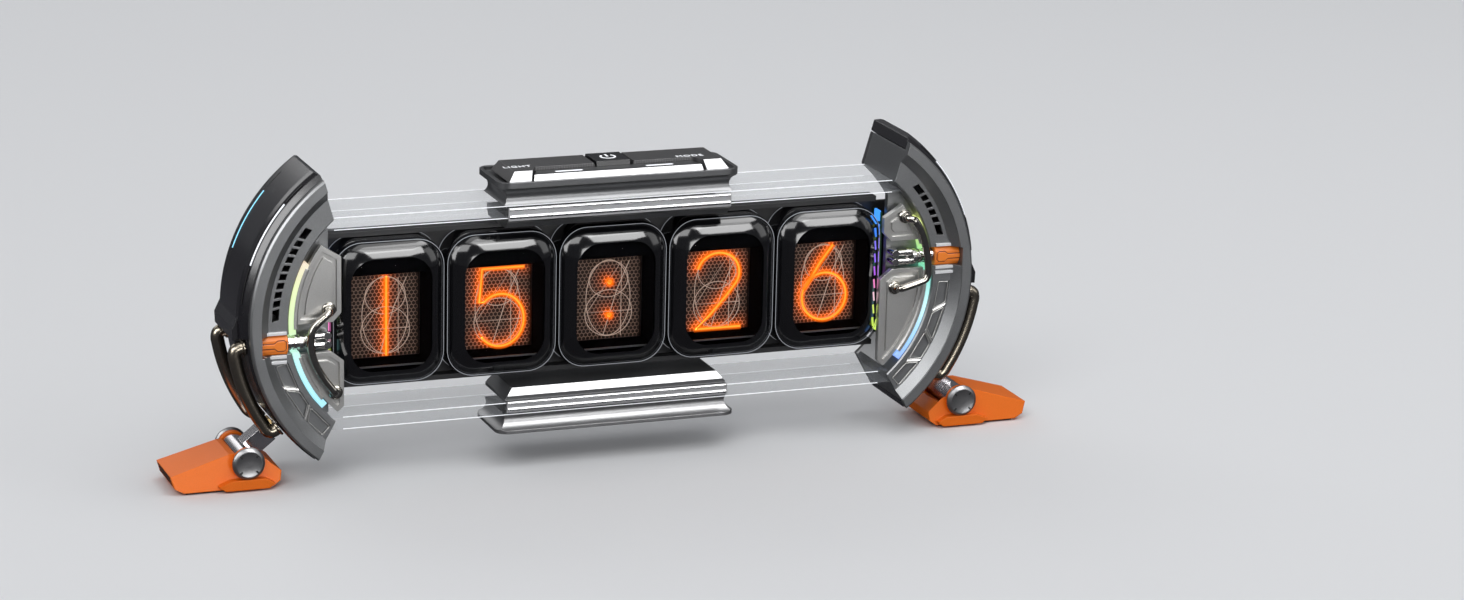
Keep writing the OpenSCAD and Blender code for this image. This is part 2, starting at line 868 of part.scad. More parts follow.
// Strip of small lamps that shines into the end cell
module led_board() {
    t = 0.7;
    x2 = web_x - 0.1;
    half = cell_h / 2 - 3;
    pitch = (2 * half - 5.2) / (led_count - 1);
    color([0.1, 0.3, 0.2])
        box([x2 - t, x2], [y_tray - 7, y_tray], [cell_z - half, cell_z + half]);
    color([0.95, 0.95, 0.9])
        for (i = [0:led_count - 1])
            box([x2 - t - 0.4, x2 - t + eps], [y_tray - 5.4, y_tray - 3],
                [cell_z - half + 1.4 + i * pitch, cell_z - half + 3.8 + i * pitch]);
}

module left_led_board() {
    on_side(-1) led_board();
}

module right_led_board() {
    on_side(1) led_board();
}

// Circuit board with a few flat chips
module main_board() {
    y2 = y_board + board_t;
    color([0.08, 0.28, 0.16])
        box([-board_half, board_half], [y_board, y2], [cell_z - board_h / 2, cell_z + board_h / 2]);
    color([0.1, 0.1, 0.1]) {
        box([-14, -4], [y2 - eps, y2 + 1], [cell_z - 5, cell_z + 5]);
        box([6, 12], [y2 - eps, y2 + 1], [cell_z + 2, cell_z + 8]);
    }
}

speaker_x = -52;
cell_spot_x = 46;
speaker_r = 10;

module speaker() {
    y1 = y_board + board_t;
    color([0.15, 0.15, 0.15])
        difference() {
            rod_y(speaker_x, cell_z, speaker_r, y1, y1 + 2.8);
            rod_y(speaker_x, cell_z, speaker_r - 3, y1 + 1.8, y1 + 4);
        }
}

// Coin cell that keeps the time without mains, in its holder
module backup_cell() {
    y1 = y_board + board_t;
    color([0.7, 0.7, 0.7]) {
        box([cell_spot_x - 7.5, cell_spot_x + 7.5], [y1, y1 + 0.8], [cell_z - 7.5, cell_z + 7.5]);
        rod_y(cell_spot_x, cell_z, 6.2, y1 + 0.8 - eps, y1 + 2.8);
    }
}

socket_x = 20;
socket_w = 9;
socket_h = 3.3;

// Power inlet that opens at the rear
module power_socket() {
    y1 = y_board + board_t;
    z = cell_z - 10;
    color([0.75, 0.75, 0.76])
        translate([socket_x, 0, z])
            difference() {
                slab(y1, y_rear - 0.6) round_rect(socket_w, socket_h, socket_h / 2 - 0.1);
                difference() {
                    slab(y1 + 1, y_rear) round_rect(socket_w - 0.8, socket_h - 0.8, socket_h / 2 - 0.5);
                    box([-3.1, 3.1], [y1, y_rear - 1.2], [-0.35, 0.35]);
                }
            }
}

grille_slots = 5;

// Shallow box that closes the rear of the tray
module back_cover() {
    y1 = y_tray + tray_t;
    wall = 1.8;
    color([0.1, 0.1, 0.11])
        translate([0, 0, cell_z])
            difference() {
                slab(y1, y_rear) round_rect(2 * back_half, back_h, 5);
                slab(y1 - 1, y_cover) round_rect(2 * (back_half - wall), back_h - 2 * wall, 5 - wall);
                for (i = [0:grille_slots - 1])
                    box([speaker_x - 7, speaker_x + 7], [y_cover - 1, y_rear + 1],
                        [(i - 2) * 3 - 0.6, (i - 2) * 3 + 0.6]);
                translate([socket_x, 0, -10])
                    slab(y_cover - 1, y_rear + 1)
                        round_rect(socket_w + 0.8, socket_h + 0.8, socket_h / 2 + 0.3);
                for (c = corners) {
                    rod_y(c[0] * cover_screw_x, c[1] * cover_screw_z, screw_r + screw_slack,
                        y_cover - 1, y_rear + 1);
                    rod_y(c[0] * cover_screw_x, c[1] * cover_screw_z, screw_head_r + 0.2,
                        y_rear - screw_head_h, y_rear + 1);
                }
            }
}

// Bars

// Flanged block with hollow sides, flange at the top
module flanged_block(z1, z2, flange) {
    neck_z = z2 - flange - cove_r + 0.3;
    far = bar_l / 2 + cove_off;
    deep = bar_d / 2 + cove_off;
    difference() {
        translate([0, 0, z1])
            linear_extrude(height = z2 - z1)
                round_rect(bar_l, bar_d, bar_corner);
        for (s = [-1, 1]) {
            rod_x(s * deep, neck_z, cove_r, -bar_l, bar_l);
            translate([s * far, 0, neck_z])
                rotate([90, 0, 0])
                    cylinder(r = cove_r, h = 2 * bar_d, center = true);
        }
    }
}

ledge_half = bar_l * 0.34;
inside_l = bar_l - 2 * neck_in - 2 * bar_wall;
inside_d = bar_d - 2 * neck_in - 2 * bar_wall;
key_board_l = 2 * bar_screw_x - 10;
key_board_d = inside_d - 1.6;
board_post_x = key_board_l / 2 - 1.7;
board_post_y = key_board_d / 2 - 2;
ledge_back = -5.2;
ledge_slant = 1.8;

// Bar over the top plate: key well, front ledge and room for the key board
module top_bar() {
    under = key_floor - top_wall;
    front = -bar_d / 2 + lip_w + 0.6;
    color([0.2, 0.2, 0.21])
        difference() {
            union() {
                difference() {
                    flanged_block(bar_hi, flange_hi, flange_t);
                    translate([0, 0, key_floor])
                        linear_extrude(height = flange_hi)
                            round_rect(bar_l - 2 * lip_w, bar_d - 2 * lip_w, bar_corner - lip_w);
                    box([-inside_l / 2, inside_l / 2], [-inside_d / 2, inside_d / 2], [bar_hi - 1, under]);
                }
                intersection() {
                    strip(bar_l / 2, [
                        [front, key_floor - eps], [front + 1.6, key_top - 1.4],
                        [ledge_back, key_top - 1.1], [ledge_back, key_floor - eps]
                    ]);
                    translate([0, 0, bar_hi])
                        linear_extrude(height = 2 * key_top - 2 * bar_hi)
                            polygon([
                                [-ledge_half - ledge_slant, front - 1], [ledge_half + ledge_slant, front - 1],
                                [ledge_half - ledge_slant, ledge_back + 1], [ledge_slant - ledge_half, ledge_back + 1]
                            ]);
                }
                for (s = [-1, 1])
                    rod_z(s * bar_screw_x, 0, 2.9, bar_hi, under + eps);
                for (s = [-1, 1], t = [-1, 1])
                    rod_z(s * board_post_x, t * board_post_y, 1.6, button_board_z + button_board_t, under + eps);
            }
            for (x = [-stem_x, 0, stem_x])
                rod_z(x, stem_y, stem_r + stem_slack, under - 1, key_floor + 1);
            for (s = [-1, 1])
                rod_z(s * bar_screw_x, 0, bar_screw_r + screw_slack, bar_hi - 1, under - 0.6);
        }
}

// Board with one low switch under each key
module button_board() {
    z2 = button_board_z + button_board_t;
    color([0.08, 0.28, 0.16])
        box([-key_board_l / 2, key_board_l / 2], [-key_board_d / 2, key_board_d / 2], [button_board_z, z2]);
    color([0.15, 0.15, 0.15])
        for (x = [-stem_x, 0, stem_x])
            box([x - 2.4, x + 2.4], [stem_y - 2.4, stem_y + 2.4], [z2 - eps, z2 + switch_h]);
}

key_gap = 0.5;
power_half = bar_l * 0.07;
key_back = bar_d / 2 - lip_w - 3.2;
key_front = -bar_d / 2 + lip_w + 0.6;
key_end = bar_l / 2 - lip_w - 2.2;
stem_low = button_board_z + button_board_t + switch_h + key_travel + 0.1;

// Side key: long plate with a front step that leaves room for the ledge
module side_key() {
    inner = power_half + key_gap;
    color([0.2, 0.19, 0.2]) {
        intersection() {
            translate([0, 0, key_under])
                linear_extrude(height = key_top - key_under)
                    polygon([
                        [inner, ledge_back + key_gap], [ledge_half - ledge_slant + 0.9, ledge_back + key_gap],
                        [ledge_half + ledge_slant + 0.2, key_front], [key_end, key_front],
                        [key_end, key_back], [inner, key_back]
                    ]);
            translate([inner - 1, 0, 0])
                rotate([90, 0, 90])
                    linear_extrude(height = key_end)
                        polygon([
                            [key_front, key_under], [key_front + 1.7, key_top],
                            [key_back - 1.2, key_top], [key_back, key_under]
                        ]);
            translate([0, key_back + 1, 0])
                rotate([90, 0, 0])
                    linear_extrude(height = bar_d)
                        polygon([
                            [inner, key_under], [inner + 0.5, key_top],
                            [key_end - 2.2, key_top], [key_end, key_under]
                        ]);
        }
        rod_z(stem_x, stem_y, stem_r, stem_low, key_under + eps);
    }
}

module light_key() {
    on_side(-1) side_key();
}

module mode_key() {
    on_side(1) side_key();
}

module power_key() {
    color([0.07, 0.07, 0.08]) {
        intersection() {
            box([-power_half, power_half], [ledge_back + key_gap, key_back], [key_under, key_top + 0.3]);
            translate([-power_half, 0, 0])
                rotate([90, 0, 90])
                    linear_extrude(height = 2 * power_half)
                        polygon([
                            [ledge_back + key_gap, key_under], [ledge_back + key_gap + 0.8, key_top + 0.3],
                            [key_back - 1.2, key_top + 0.3], [key_back, key_under]
                        ]);
        }
        rod_z(0, stem_y, stem_r, stem_low, key_under + eps);
    }
}

// Bevelled strip with its section in Y and Z
module strip(half, section) {
    translate([-half, 0, 0])
        rotate([90, 0, 90])
            linear_extrude(height = 2 * half)
                polygon(section);
}

strip_half = bar_l / 2 - neck_in;
strip_deep = bar_d / 2 - neck_in + 0.6;
lip_in = y_plate - 0.1;
lip_out = y_plate - 0.9;
end_bevel = 3;

// Strip under the top plate that pulls the top bar down
module top_clamp() {
    low = plate_hi - clamp_h;
    color([0.3, 0.3, 0.31])
        difference() {
            strip(strip_half, [
                [lip_in, plate_hi], [lip_in, bar_hi - 0.4], [lip_out, bar_hi - 0.4], [lip_out, plate_hi - 0.8],
                [-strip_deep, plate_hi - 1.8], [-strip_deep + 1.6, low],
                [strip_deep - 1.6, low], [strip_deep, plate_hi - 1.8], [strip_deep, plate_hi]
            ]);
            for (s = [-1, 1]) {
                rod_z(s * bar_screw_x, 0, bar_screw_r + screw_slack, low - 1, plate_hi + 1);
                rod_z(s * bar_screw_x, 0, screw_head_r + 0.2, low - 1, low + screw_head_h);
            }
        }
}

// Bevelled bar standing on the bottom plate
module bottom_bar() {
    high = plate_lo + block_h;
    color([0.25, 0.25, 0.26])
        difference() {
            intersection() {
                strip(strip_half, [
                    [lip_in, plate_lo], [lip_in, plate_lo - 3], [lip_out, plate_lo - 3], [lip_out, plate_lo + 0.6],
                    [-strip_deep, plate_lo + 0.6], [-strip_deep, plate_lo + 1.9], [-strip_deep + 1.3, high],
                    [strip_deep - 1.3, high], [strip_deep, plate_lo + 1.9], [strip_deep, plate_lo]
                ]);
                slab(-bar_d, bar_d)
                    polygon([
                        [-strip_half, plate_lo - 5], [-strip_half, plate_lo + 1], [end_bevel - strip_half, high + 0.5],
                        [strip_half - end_bevel, high + 0.5], [strip_half, plate_lo + 1], [strip_half, plate_lo - 5]
                    ]);
            }
            for (s = [-1, 1])
                rod_z(s * bar_screw_x, 0, bar_screw_r + screw_slack, plate_lo - 1, high - 0.8);
        }
}

// Flanged bar under the bottom plate
module bottom_clamp() {
    high = plate_lo - plate_t;
    color([0.55, 0.55, 0.56])
        difference() {
            translate([0, 0, high])
                mirror([0, 0, 1])
                    flanged_block(0, high - flange_lo, 1.3);
            for (s = [-1, 1]) {
                rod_z(s * bar_screw_x, 0, bar_screw_r + screw_slack, flange_lo - 1, high + 1);
                rod_z(s * bar_screw_x, 0, screw_head_r + 0.2, flange_lo - 1, flange_lo + screw_head_h);
            }
        }
}

// Fasteners

// Screw along Y with its head at the rear
module screw_y(x, z, head_at, long) {
    rod_y(x, z, screw_head_r, head_at, head_at + screw_head_h);
    rod_y(x, z, screw_r, head_at - long, head_at + eps);
}

// Upright screw with its head at the bottom
module screw_z(x, head_at, tip) {
    rod_z(x, 0, screw_head_r, head_at, head_at + screw_head_h);
    rod_z(x, 0, bar_screw_r, head_at + screw_head_h - eps, tip);
}

module bracket_screws() {
    color([0.3, 0.3, 0.3])
        for (s = [-1, 1], a = cover_bosses)
            screw_y(s * at_arc(boss_at, a)[0], at_arc(boss_at, a)[1], y_rear - screw_head_h, 6);
}

module tray_screws() {
    color([0.3, 0.3, 0.3])
        for (s = [-1, 1], t = [-1, 1])
            screw_y(s * post_x, arc_z + t * post_dz, y_tray + tray_t, 6);
}

module cover_screws() {
    color([0.3, 0.3, 0.3])
        for (c = corners)
            screw_y(c[0] * cover_screw_x, cell_z + c[1] * cover_screw_z, y_rear - screw_head_h, 5);
}

module bar_screws() {
    color([0.3, 0.3, 0.3])
        for (s = [-1, 1]) {
            screw_z(s * bar_screw_x, plate_hi - clamp_h, bar_hi + 2.8);
            screw_z(s * bar_screw_x, flange_lo, plate_lo + 2.6);
        }
}

// Legs and feet

leg_w = 6;
arm_half = leg_w / 2 + 0.5;

// Square arm on a stud, with a round barrel that carries the foot pin
module leg() {
    difference() {
        union() {
            translate([arc_x, 0, arc_z])
                rotate([0, 90 - leg_deg, 0]) {
                    translate([0, 0, wall_in + 0.2])
                        cylinder(r = stud_r, h = 6);
                    translate([0, 0, lower_r + 0.4])
                        cylinder(r = 2.6, h = 3);
                    translate([-leg_w / 2, -leg_w / 2, lower_r + 3.2])
                        cube([leg_w, leg_w, arc_r + leg_out - lower_r - 3.2]);
                }
            rod_y(pin_x, pin_z, barrel_r, -barrel_l / 2, barrel_l / 2);
        }
        rod_y(pin_x, pin_z, pin_d / 2 + pin_slack, -barrel_l, barrel_l);
    }
}

module left_leg() {
    color([0.6, 0.58, 0.6]) on_side(-1) leg();
}

module right_leg() {
    color([0.6, 0.58, 0.6]) on_side(1) leg();
}

// Side view of the foot about the pin, outward positive, height over the desk
foot_side = [
    [-10.8, 5.2], [-10.3, 2.2], [-8.2, foot_bottom], [foot_reach - 4, foot_bottom], [foot_reach - 1.2, 2.2],
    [foot_reach, 6], [5.4, pin_z + 2.6], [3.2, pin_z + 2.6], [-5.6, pin_z + 0.6]
];

// Low flared skirt in front of and behind the pin
skirt_side = [
    [-6.4, foot_bottom], [-8.2, 2.2], [-5.2, 3.8], [5.4, 3.8], [9.4, 2.2], [7.4, foot_bottom]
];

// Edge of the room the leg needs, at a turn a, on one side, at a distance from the pin
function swing_edge(a, s, far) = [
    far * cos(a) - s * arm_half * sin(a),
    pin_z + far * sin(a) + s * arm_half * cos(a)
];

module foot() {
    inner = barrel_l / 2 + cheek_slack;
    back = half_turn + leg_deg;
    far = 22;
    translate([pin_x, 0, 0])
        difference() {
            union() {
                intersection() {
                    slab(-foot_w / 2, foot_w / 2) polygon(foot_side);
                    strip(2 * foot_reach, [
                        [-foot_w / 2, 0], [foot_w / 2, 0],
                        [foot_w / 2 - foot_lean, pin_z + 4], [-foot_w / 2 + foot_lean, pin_z + 4]
                    ]);
                }
                for (s = [-1, 1])
                    translate([0, s * foot_w / 2, 0])
                        slab(s < 0 ? -skirt_t : -1.5, s < 0 ? 1.5 : skirt_t) polygon(skirt_side);
                for (s = [-1, 1])
                    translate([0, s * (foot_w / 2 + inner) / 2, 0])
                        rod_y(0, pin_z, head_d / 2 - 0.6, (inner - foot_w / 2) / 2, (foot_w / 2 - inner) / 2);
            }
            rod_y(0, pin_z, barrel_r + saddle_slack, -inner, inner);
            slab(-inner, inner)
                polygon([
                    swing_edge(back - foot_swing, -1, 0), swing_edge(back - foot_swing, -1, far),
                    swing_edge(back + foot_swing, 1, far), swing_edge(back + foot_swing, 1, 0)
                ]);
            rod_y(0, pin_z, pin_d / 2 + pin_fit, -foot_w, foot_w);
            box([-pad_in - 0.2, foot_reach - 4.6], [-foot_w / 2 + 1, foot_w / 2 - 1], [-1, foot_bottom + 0.2]);
        }
}

module left_foot() {
    color([0.93, 0.36, 0.08]) on_side(-1) foot();
}

module right_foot() {
    color([0.93, 0.36, 0.08]) on_side(1) foot();
}

// Rubber sole let into the underside of the foot
module pad() {
    translate([pin_x, 0, 0])
        box([-pad_in, foot_reach - 4.8], [-foot_w / 2 + 1.2, foot_w / 2 - 1.2], [pad_bottom, pad_t]);
}

module left_pad() {
    color([0.05, 0.05, 0.05]) on_side(-1) pad();
}

module right_pad() {
    color([0.05, 0.05, 0.05]) on_side(1) pad();
}

// Hinge pin with a flat round head at each end
module pin() {
    face = foot_w / 2 + 0.05;
    rod_y(pin_x, pin_z, pin_d / 2, -face - eps, face + eps);
    for (s = [-1, 1])
        difference() {
            translate([0, s * (face + head_t / 2), 0])
                rod_y(pin_x, pin_z, head_d / 2, -head_t / 2, head_t / 2);
            for (a = [45:90:315])
                translate([0, s * (face + head_t), 0])
                    rod_y(pin_x + cos(a) * head_d * 0.36, pin_z + sin(a) * head_d * 0.36, 0.45, -0.4, 0.4);
        }
}

module left_pin() {
    color([0.5, 0.5, 0.5]) on_side(-1) pin();
}

module right_pin() {
    color([0.5, 0.5, 0.5]) on_side(1) pin();
}

left_bracket();
right_bracket();
left_shell();
right_shell();
left_rear_cover();
right_rear_cover();
left_guide();
right_guide();
left_upper_trim();
left_lower_trim();
right_upper_trim();
right_lower_trim();
left_handle();
right_handle();
left_plug();
right_plug();
left_hose();
right_hose();
left_pipes();
right_pipes();
top_plate();
bottom_plate();
cell_1();
cell_2();
cell_3();
cell_4();
cell_5();
display_1();
display_2();
display_3();
display_4();
display_5();
cell_tray();
left_led_board();
right_led_board();
main_board();
speaker();
backup_cell();
power_socket();
back_cover();
top_bar();
top_clamp();
button_board();
light_key();
power_key();
mode_key();
bottom_bar();
bottom_clamp();
bracket_screws();
tray_screws();
cover_screws();
bar_screws();
left_leg();
right_leg();
left_foot();
right_foot();
left_pad();
right_pad();
left_pin();
right_pin();
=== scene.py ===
import json
import math

import bmesh
import bpy
from mathutils import Matrix, Vector


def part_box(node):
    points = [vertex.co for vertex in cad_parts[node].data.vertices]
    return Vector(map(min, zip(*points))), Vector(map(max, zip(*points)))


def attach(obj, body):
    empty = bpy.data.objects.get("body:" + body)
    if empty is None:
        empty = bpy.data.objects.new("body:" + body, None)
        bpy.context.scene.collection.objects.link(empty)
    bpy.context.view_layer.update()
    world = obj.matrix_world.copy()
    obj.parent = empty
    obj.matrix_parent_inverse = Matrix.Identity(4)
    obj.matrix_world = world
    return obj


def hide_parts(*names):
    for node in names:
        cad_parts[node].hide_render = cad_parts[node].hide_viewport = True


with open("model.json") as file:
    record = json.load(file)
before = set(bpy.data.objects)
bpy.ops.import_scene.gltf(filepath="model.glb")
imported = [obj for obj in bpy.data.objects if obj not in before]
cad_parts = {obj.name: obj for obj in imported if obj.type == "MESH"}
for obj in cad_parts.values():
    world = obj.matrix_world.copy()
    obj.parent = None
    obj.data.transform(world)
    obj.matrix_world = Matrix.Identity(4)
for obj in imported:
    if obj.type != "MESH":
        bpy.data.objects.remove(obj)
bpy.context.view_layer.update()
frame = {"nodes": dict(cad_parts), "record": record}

# Lengths are millimetres up to the stage, turned into metres as each mesh is made.
MM = 0.001


def corners(node):
    """Lowest and highest corner of a CAD node in millimetres."""
    low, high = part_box(node)
    return low / MM, high / MM


def middle(node):
    """Middle of a CAD node in millimetres."""
    low, high = corners(node)
    return (low + high) / 2


SIDES = {"left": -1, "right": 1}
CELL_PITCH = middle("cell_4").x - middle("cell_3").x
CELL_Z = middle("cell_3").z
WINDOW_W, WINDOW_H, WINDOW_Z = 22.4, 26.9, CELL_Z - 2.0
# Arches: outer radius and middle, then depths of trim plates, handle bars and band
ARC_R = 55.0
ARC_X, ARC_Z = corners("right_bracket")[1].x - ARC_R, CELL_Z + 0.4
TRIM_X, Y_TRIM = corners("right_lower_trim")[0].x, corners("right_lower_trim")[0].y
Y_HANDLE = Y_TRIM - 3.3
Y_BAND = Y_TRIM - 1.3
Y_REAR = corners("back_cover")[1].y
PLUG_DZ = {name: middle(name + "_plug").z - ARC_Z for name in SIDES}
PLUG_IN, PLUG_FRONT = corners("right_plug")[0].x - ARC_X, corners("right_plug")[0].y
PIN_X, PIN_Z = middle("right_pin").x, middle("right_pin").z


# Mesh helpers

def add_piece(name, bm, material, body="frame", sharp=35.0, replaces=()):
    """Turns a bmesh into a piece that rides a body of the clock."""
    bmesh.ops.recalc_face_normals(bm, faces=bm.faces)
    mesh = bpy.data.meshes.new(name)
    bm.to_mesh(mesh)
    bm.free()
    mesh.materials.append(material)
    mesh.polygons.foreach_set("use_smooth", [True] * len(mesh.polygons))
    mesh.set_sharp_from_angle(angle=math.radians(sharp))
    piece = bpy.data.objects.new(name, mesh)
    bpy.context.scene.collection.objects.link(piece)
    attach(piece, body)
    if replaces:
        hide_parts(*replaces)
    return piece


def loft(bm, loops, cap_first=True, cap_last=True, ring=True, join_ends=False):
    """Skins a row of loops that all have the same number of points."""
    rows = [[bm.verts.new((x * MM, y * MM, z * MM)) for x, y, z in loop] for loop in loops]
    pairs = list(zip(rows, rows[1:]))
    if join_ends:
        pairs.append((rows[-1], rows[0]))
    for a, b in pairs:
        count = len(a)
        for i in range(count if ring else count - 1):
            j = (i + 1) % count
            bm.faces.new((a[i], a[j], b[j], b[i]))
    if cap_first and not join_ends:
        bm.faces.new(rows[0][::-1])
    if cap_last and not join_ends:
        bm.faces.new(rows[-1])


def side_vectors(axis):
    """Two unit vectors square to an axis."""
    axis = Vector(axis).normalized()
    helper = Vector((0, 0, 1)) if abs(axis.z) < 0.9 else Vector((1, 0, 0))
    u = axis.cross(helper).normalized()
    return u, axis.cross(u).normalized()


def circle(centre, u, v, radius, sides):
    """Points round a centre in the plane of two unit vectors."""
    turns = [2 * math.pi * k / sides for k in range(sides)]
    return [tuple(centre + (u * math.cos(a) + v * math.sin(a)) * radius) for a in turns]


def lathe(bm, centre, axis, profile, sides):
    """Turned shape: profile is radius and distance along the axis from the centre."""
    axis = Vector(axis).normalized()
    u, v = side_vectors(axis)
    loft(bm, [circle(Vector(centre) + axis * along, u, v, radius, sides) for radius, along in profile])


def smooth_course(points, steps):
    """Rounded course through points, with its first and last point kept."""
    pts = [Vector(p) for p in points]
    pts = [pts[0]] + pts + [pts[-1]]
    out = []
    for i in range(1, len(pts) - 2):
        a, b, c, d = pts[i - 1:i + 3]
        for k in range(steps):
            t = k / steps
            out.append(0.5 * (2 * b + (c - a) * t + (2 * a - 5 * b + 4 * c - d) * t * t
                              + (3 * b - a - 3 * c + d) * t ** 3))
    out.append(pts[-2])
    return out


def tube(bm, course, radius, sides):
    """Round bar along a course."""
    pts = [Vector(p) for p in course]
    loops = []
    u = None
    for i, p in enumerate(pts):
        ahead = (pts[min(i + 1, len(pts) - 1)] - pts[max(i - 1, 0)]).normalized()
        if u is None:
            u = side_vectors(ahead)[0]
        u = (u - ahead * u.dot(ahead)).normalized()
        loops.append(circle(p, u, ahead.cross(u), radius, sides))
    loft(bm, loops)


def cross_bar(bm, half, y, z, radius, sides):
    """Round bar from side to side of the clock."""
    tube(bm, [(x, y, z) for x in (-half, -half / 2, 0.0, half / 2, half)], radius, sides)


def block(bm, low, high):
    """Plain box between two corners."""
    (x1, y1, z1), (x2, y2, z2) = low, high
    loft(bm, [[(x1, y1, z), (x2, y1, z), (x2, y2, z), (x1, y2, z)] for z in (z1, z2)])


def round_rect(w, h, r, per_corner=6):
    """Points round a rectangle with round corners."""
    pts = []
    for cx, cz, start in ((1, 1, 0), (-1, 1, 90), (-1, -1, 180), (1, -1, 270)):
        for k in range(per_corner + 1):
            a = math.radians(start + 90 * k / per_corner)
            pts.append((cx * (w / 2 - r) + r * math.cos(a), cz * (h / 2 - r) + r * math.sin(a)))
    return pts


def arch_point(side, r, a, y):
    """Point of an arch at a radius, an angle in degrees and a depth."""
    a = math.radians(a)
    return (side * (ARC_X + r * math.cos(a)), y, ARC_Z + r * math.sin(a))


# Shared surface effects

def set_inputs(node, values):
    """Sets plain values on the named inputs of a node."""
    for label, value in values.items():
        node.inputs[label].default_value = value


def new_group(name, inputs, outputs):
    """Empty node group with named sockets, given with its input and output node."""
    tree = bpy.data.node_groups.new(name, "ShaderNodeTree")
    for label, kind, value in inputs:
        socket = tree.interface.new_socket(label, in_out="INPUT", socket_type="NodeSocket" + kind)
        socket.default_value = value
    for label, kind in outputs:
        tree.interface.new_socket(label, in_out="OUTPUT", socket_type="NodeSocket" + kind)
    return tree, tree.nodes.new("NodeGroupInput"), tree.nodes.new("NodeGroupOutput")


def math_node(tree, operation, a, b=None, c=None):
    """Result of one sum on values or sockets."""
    node = tree.nodes.new("ShaderNodeMath")
    node.operation = operation
    for i, value in enumerate((a, b, c)):
        if value is None:
            continue
        if isinstance(value, (int, float)):
            node.inputs[i].default_value = value
        else:
            tree.links.new(value, node.inputs[i])
    return node.outputs[0]


def vector_node(tree, operation, a, b=None, scale=None):
    """Result of one sum on vectors."""
    node = tree.nodes.new("ShaderNodeVectorMath")
    node.operation = operation
    tree.links.new(a, node.inputs[0])
    if b is not None:
        if isinstance(b, (tuple, list)):
            node.inputs[1].default_value = b
        else:
            tree.links.new(b, node.inputs[1])
    if scale is not None:
        tree.links.new(scale, node.inputs["Scale"])
    return node.outputs["Value"] if operation == "DOT_PRODUCT" else node.outputs[0]


def make_grain_group():
    """Fine grain in colour, roughness and height, with slow handling marks in the roughness."""
    tree, given, out = new_group(
        "fine_grain",
        [("Color", "Color", (0.5, 0.5, 0.5, 1)), ("Roughness", "Float", 0.4),
         ("Scale", "Float", 2000.0), ("Stretch", "Vector", (1, 1, 1)),
         ("Color spread", "Float", 0.1), ("Roughness spread", "Float", 0.1),
         ("Grain share", "Float", 0.5)],
        [("Color", "Color"), ("Roughness", "Float"), ("Height", "Float")])
    place = tree.nodes.new("ShaderNodeTexCoord").outputs["Object"]
    stretched = vector_node(tree, "MULTIPLY", place, given.outputs["Stretch"])
    grain = tree.nodes.new("ShaderNodeTexNoise")
    grain.inputs["Detail"].default_value = 3.0
    tree.links.new(stretched, grain.inputs["Vector"])
    tree.links.new(given.outputs["Scale"], grain.inputs["Scale"])
    marks = tree.nodes.new("ShaderNodeTexNoise")
    set_inputs(marks, {"Scale": 70.0, "Detail": 4.0})
    tree.links.new(place, marks.inputs["Vector"])
    speck = math_node(tree, "SUBTRACT", grain.outputs[0], 0.5)
    gain = math_node(tree, "MULTIPLY_ADD", speck, given.outputs["Color spread"], 1.0)
    tree.links.new(vector_node(tree, "SCALE", given.outputs["Color"], scale=gain), out.inputs["Color"])
    slow = math_node(tree, "SUBTRACT", marks.outputs[0], 0.5)
    both = math_node(tree, "MULTIPLY_ADD", speck, given.outputs["Grain share"], slow)
    rough = math_node(tree, "MULTIPLY_ADD", both, given.outputs["Roughness spread"],
                      given.outputs["Roughness"])
    tree.links.new(rough, out.inputs["Roughness"])
    tree.links.new(grain.outputs[0], out.inputs["Height"])
    return tree


def make_rib_group():
    """Fine slanted ribs in height, darker in the furrows."""
    tree, given, out = new_group(
        "slanted_ribs",
        [("Color", "Color", (0.2, 0.2, 0.2, 1)), ("Ribs per metre", "Float", 900.0),
         ("Depth", "Float", 0.4)],
        [("Color", "Color"), ("Height", "Float")])
    place = tree.nodes.new("ShaderNodeTexCoord").outputs["Object"]
    along = vector_node(tree, "DOT_PRODUCT", place, (0.8, 0.6, 0.0))
    turns = math_node(tree, "MULTIPLY", along, given.outputs["Ribs per metre"])
    wave = math_node(tree, "SINE", math_node(tree, "MULTIPLY", turns, 2 * math.pi))
    height = math_node(tree, "MULTIPLY_ADD", wave, 0.5, 0.5)
    low = math_node(tree, "SUBTRACT", 1.0, given.outputs["Depth"])
    gain = math_node(tree, "MULTIPLY_ADD", height, given.outputs["Depth"], low)
    tree.links.new(vector_node(tree, "SCALE", given.outputs["Color"], scale=gain), out.inputs["Color"])
    tree.links.new(height, out.inputs["Height"])
    return tree


GRAIN = make_grain_group()
RIBS = make_rib_group()
BUMP_DEEP = 0.1 * MM


def new_material(name, values):
    """Material with plain values on its shader, given with its node tree and the shader."""
    material = bpy.data.materials.new(name)
    material.use_nodes = True
    shader = material.node_tree.nodes["Principled BSDF"]
    set_inputs(shader, values)
    return material, material.node_tree, shader


def add_group(tree, group, values):
    """Places a shared effect in a material, with the material's own values."""
    node = tree.nodes.new("ShaderNodeGroup")
    node.node_tree = group
    set_inputs(node, values)
    return node


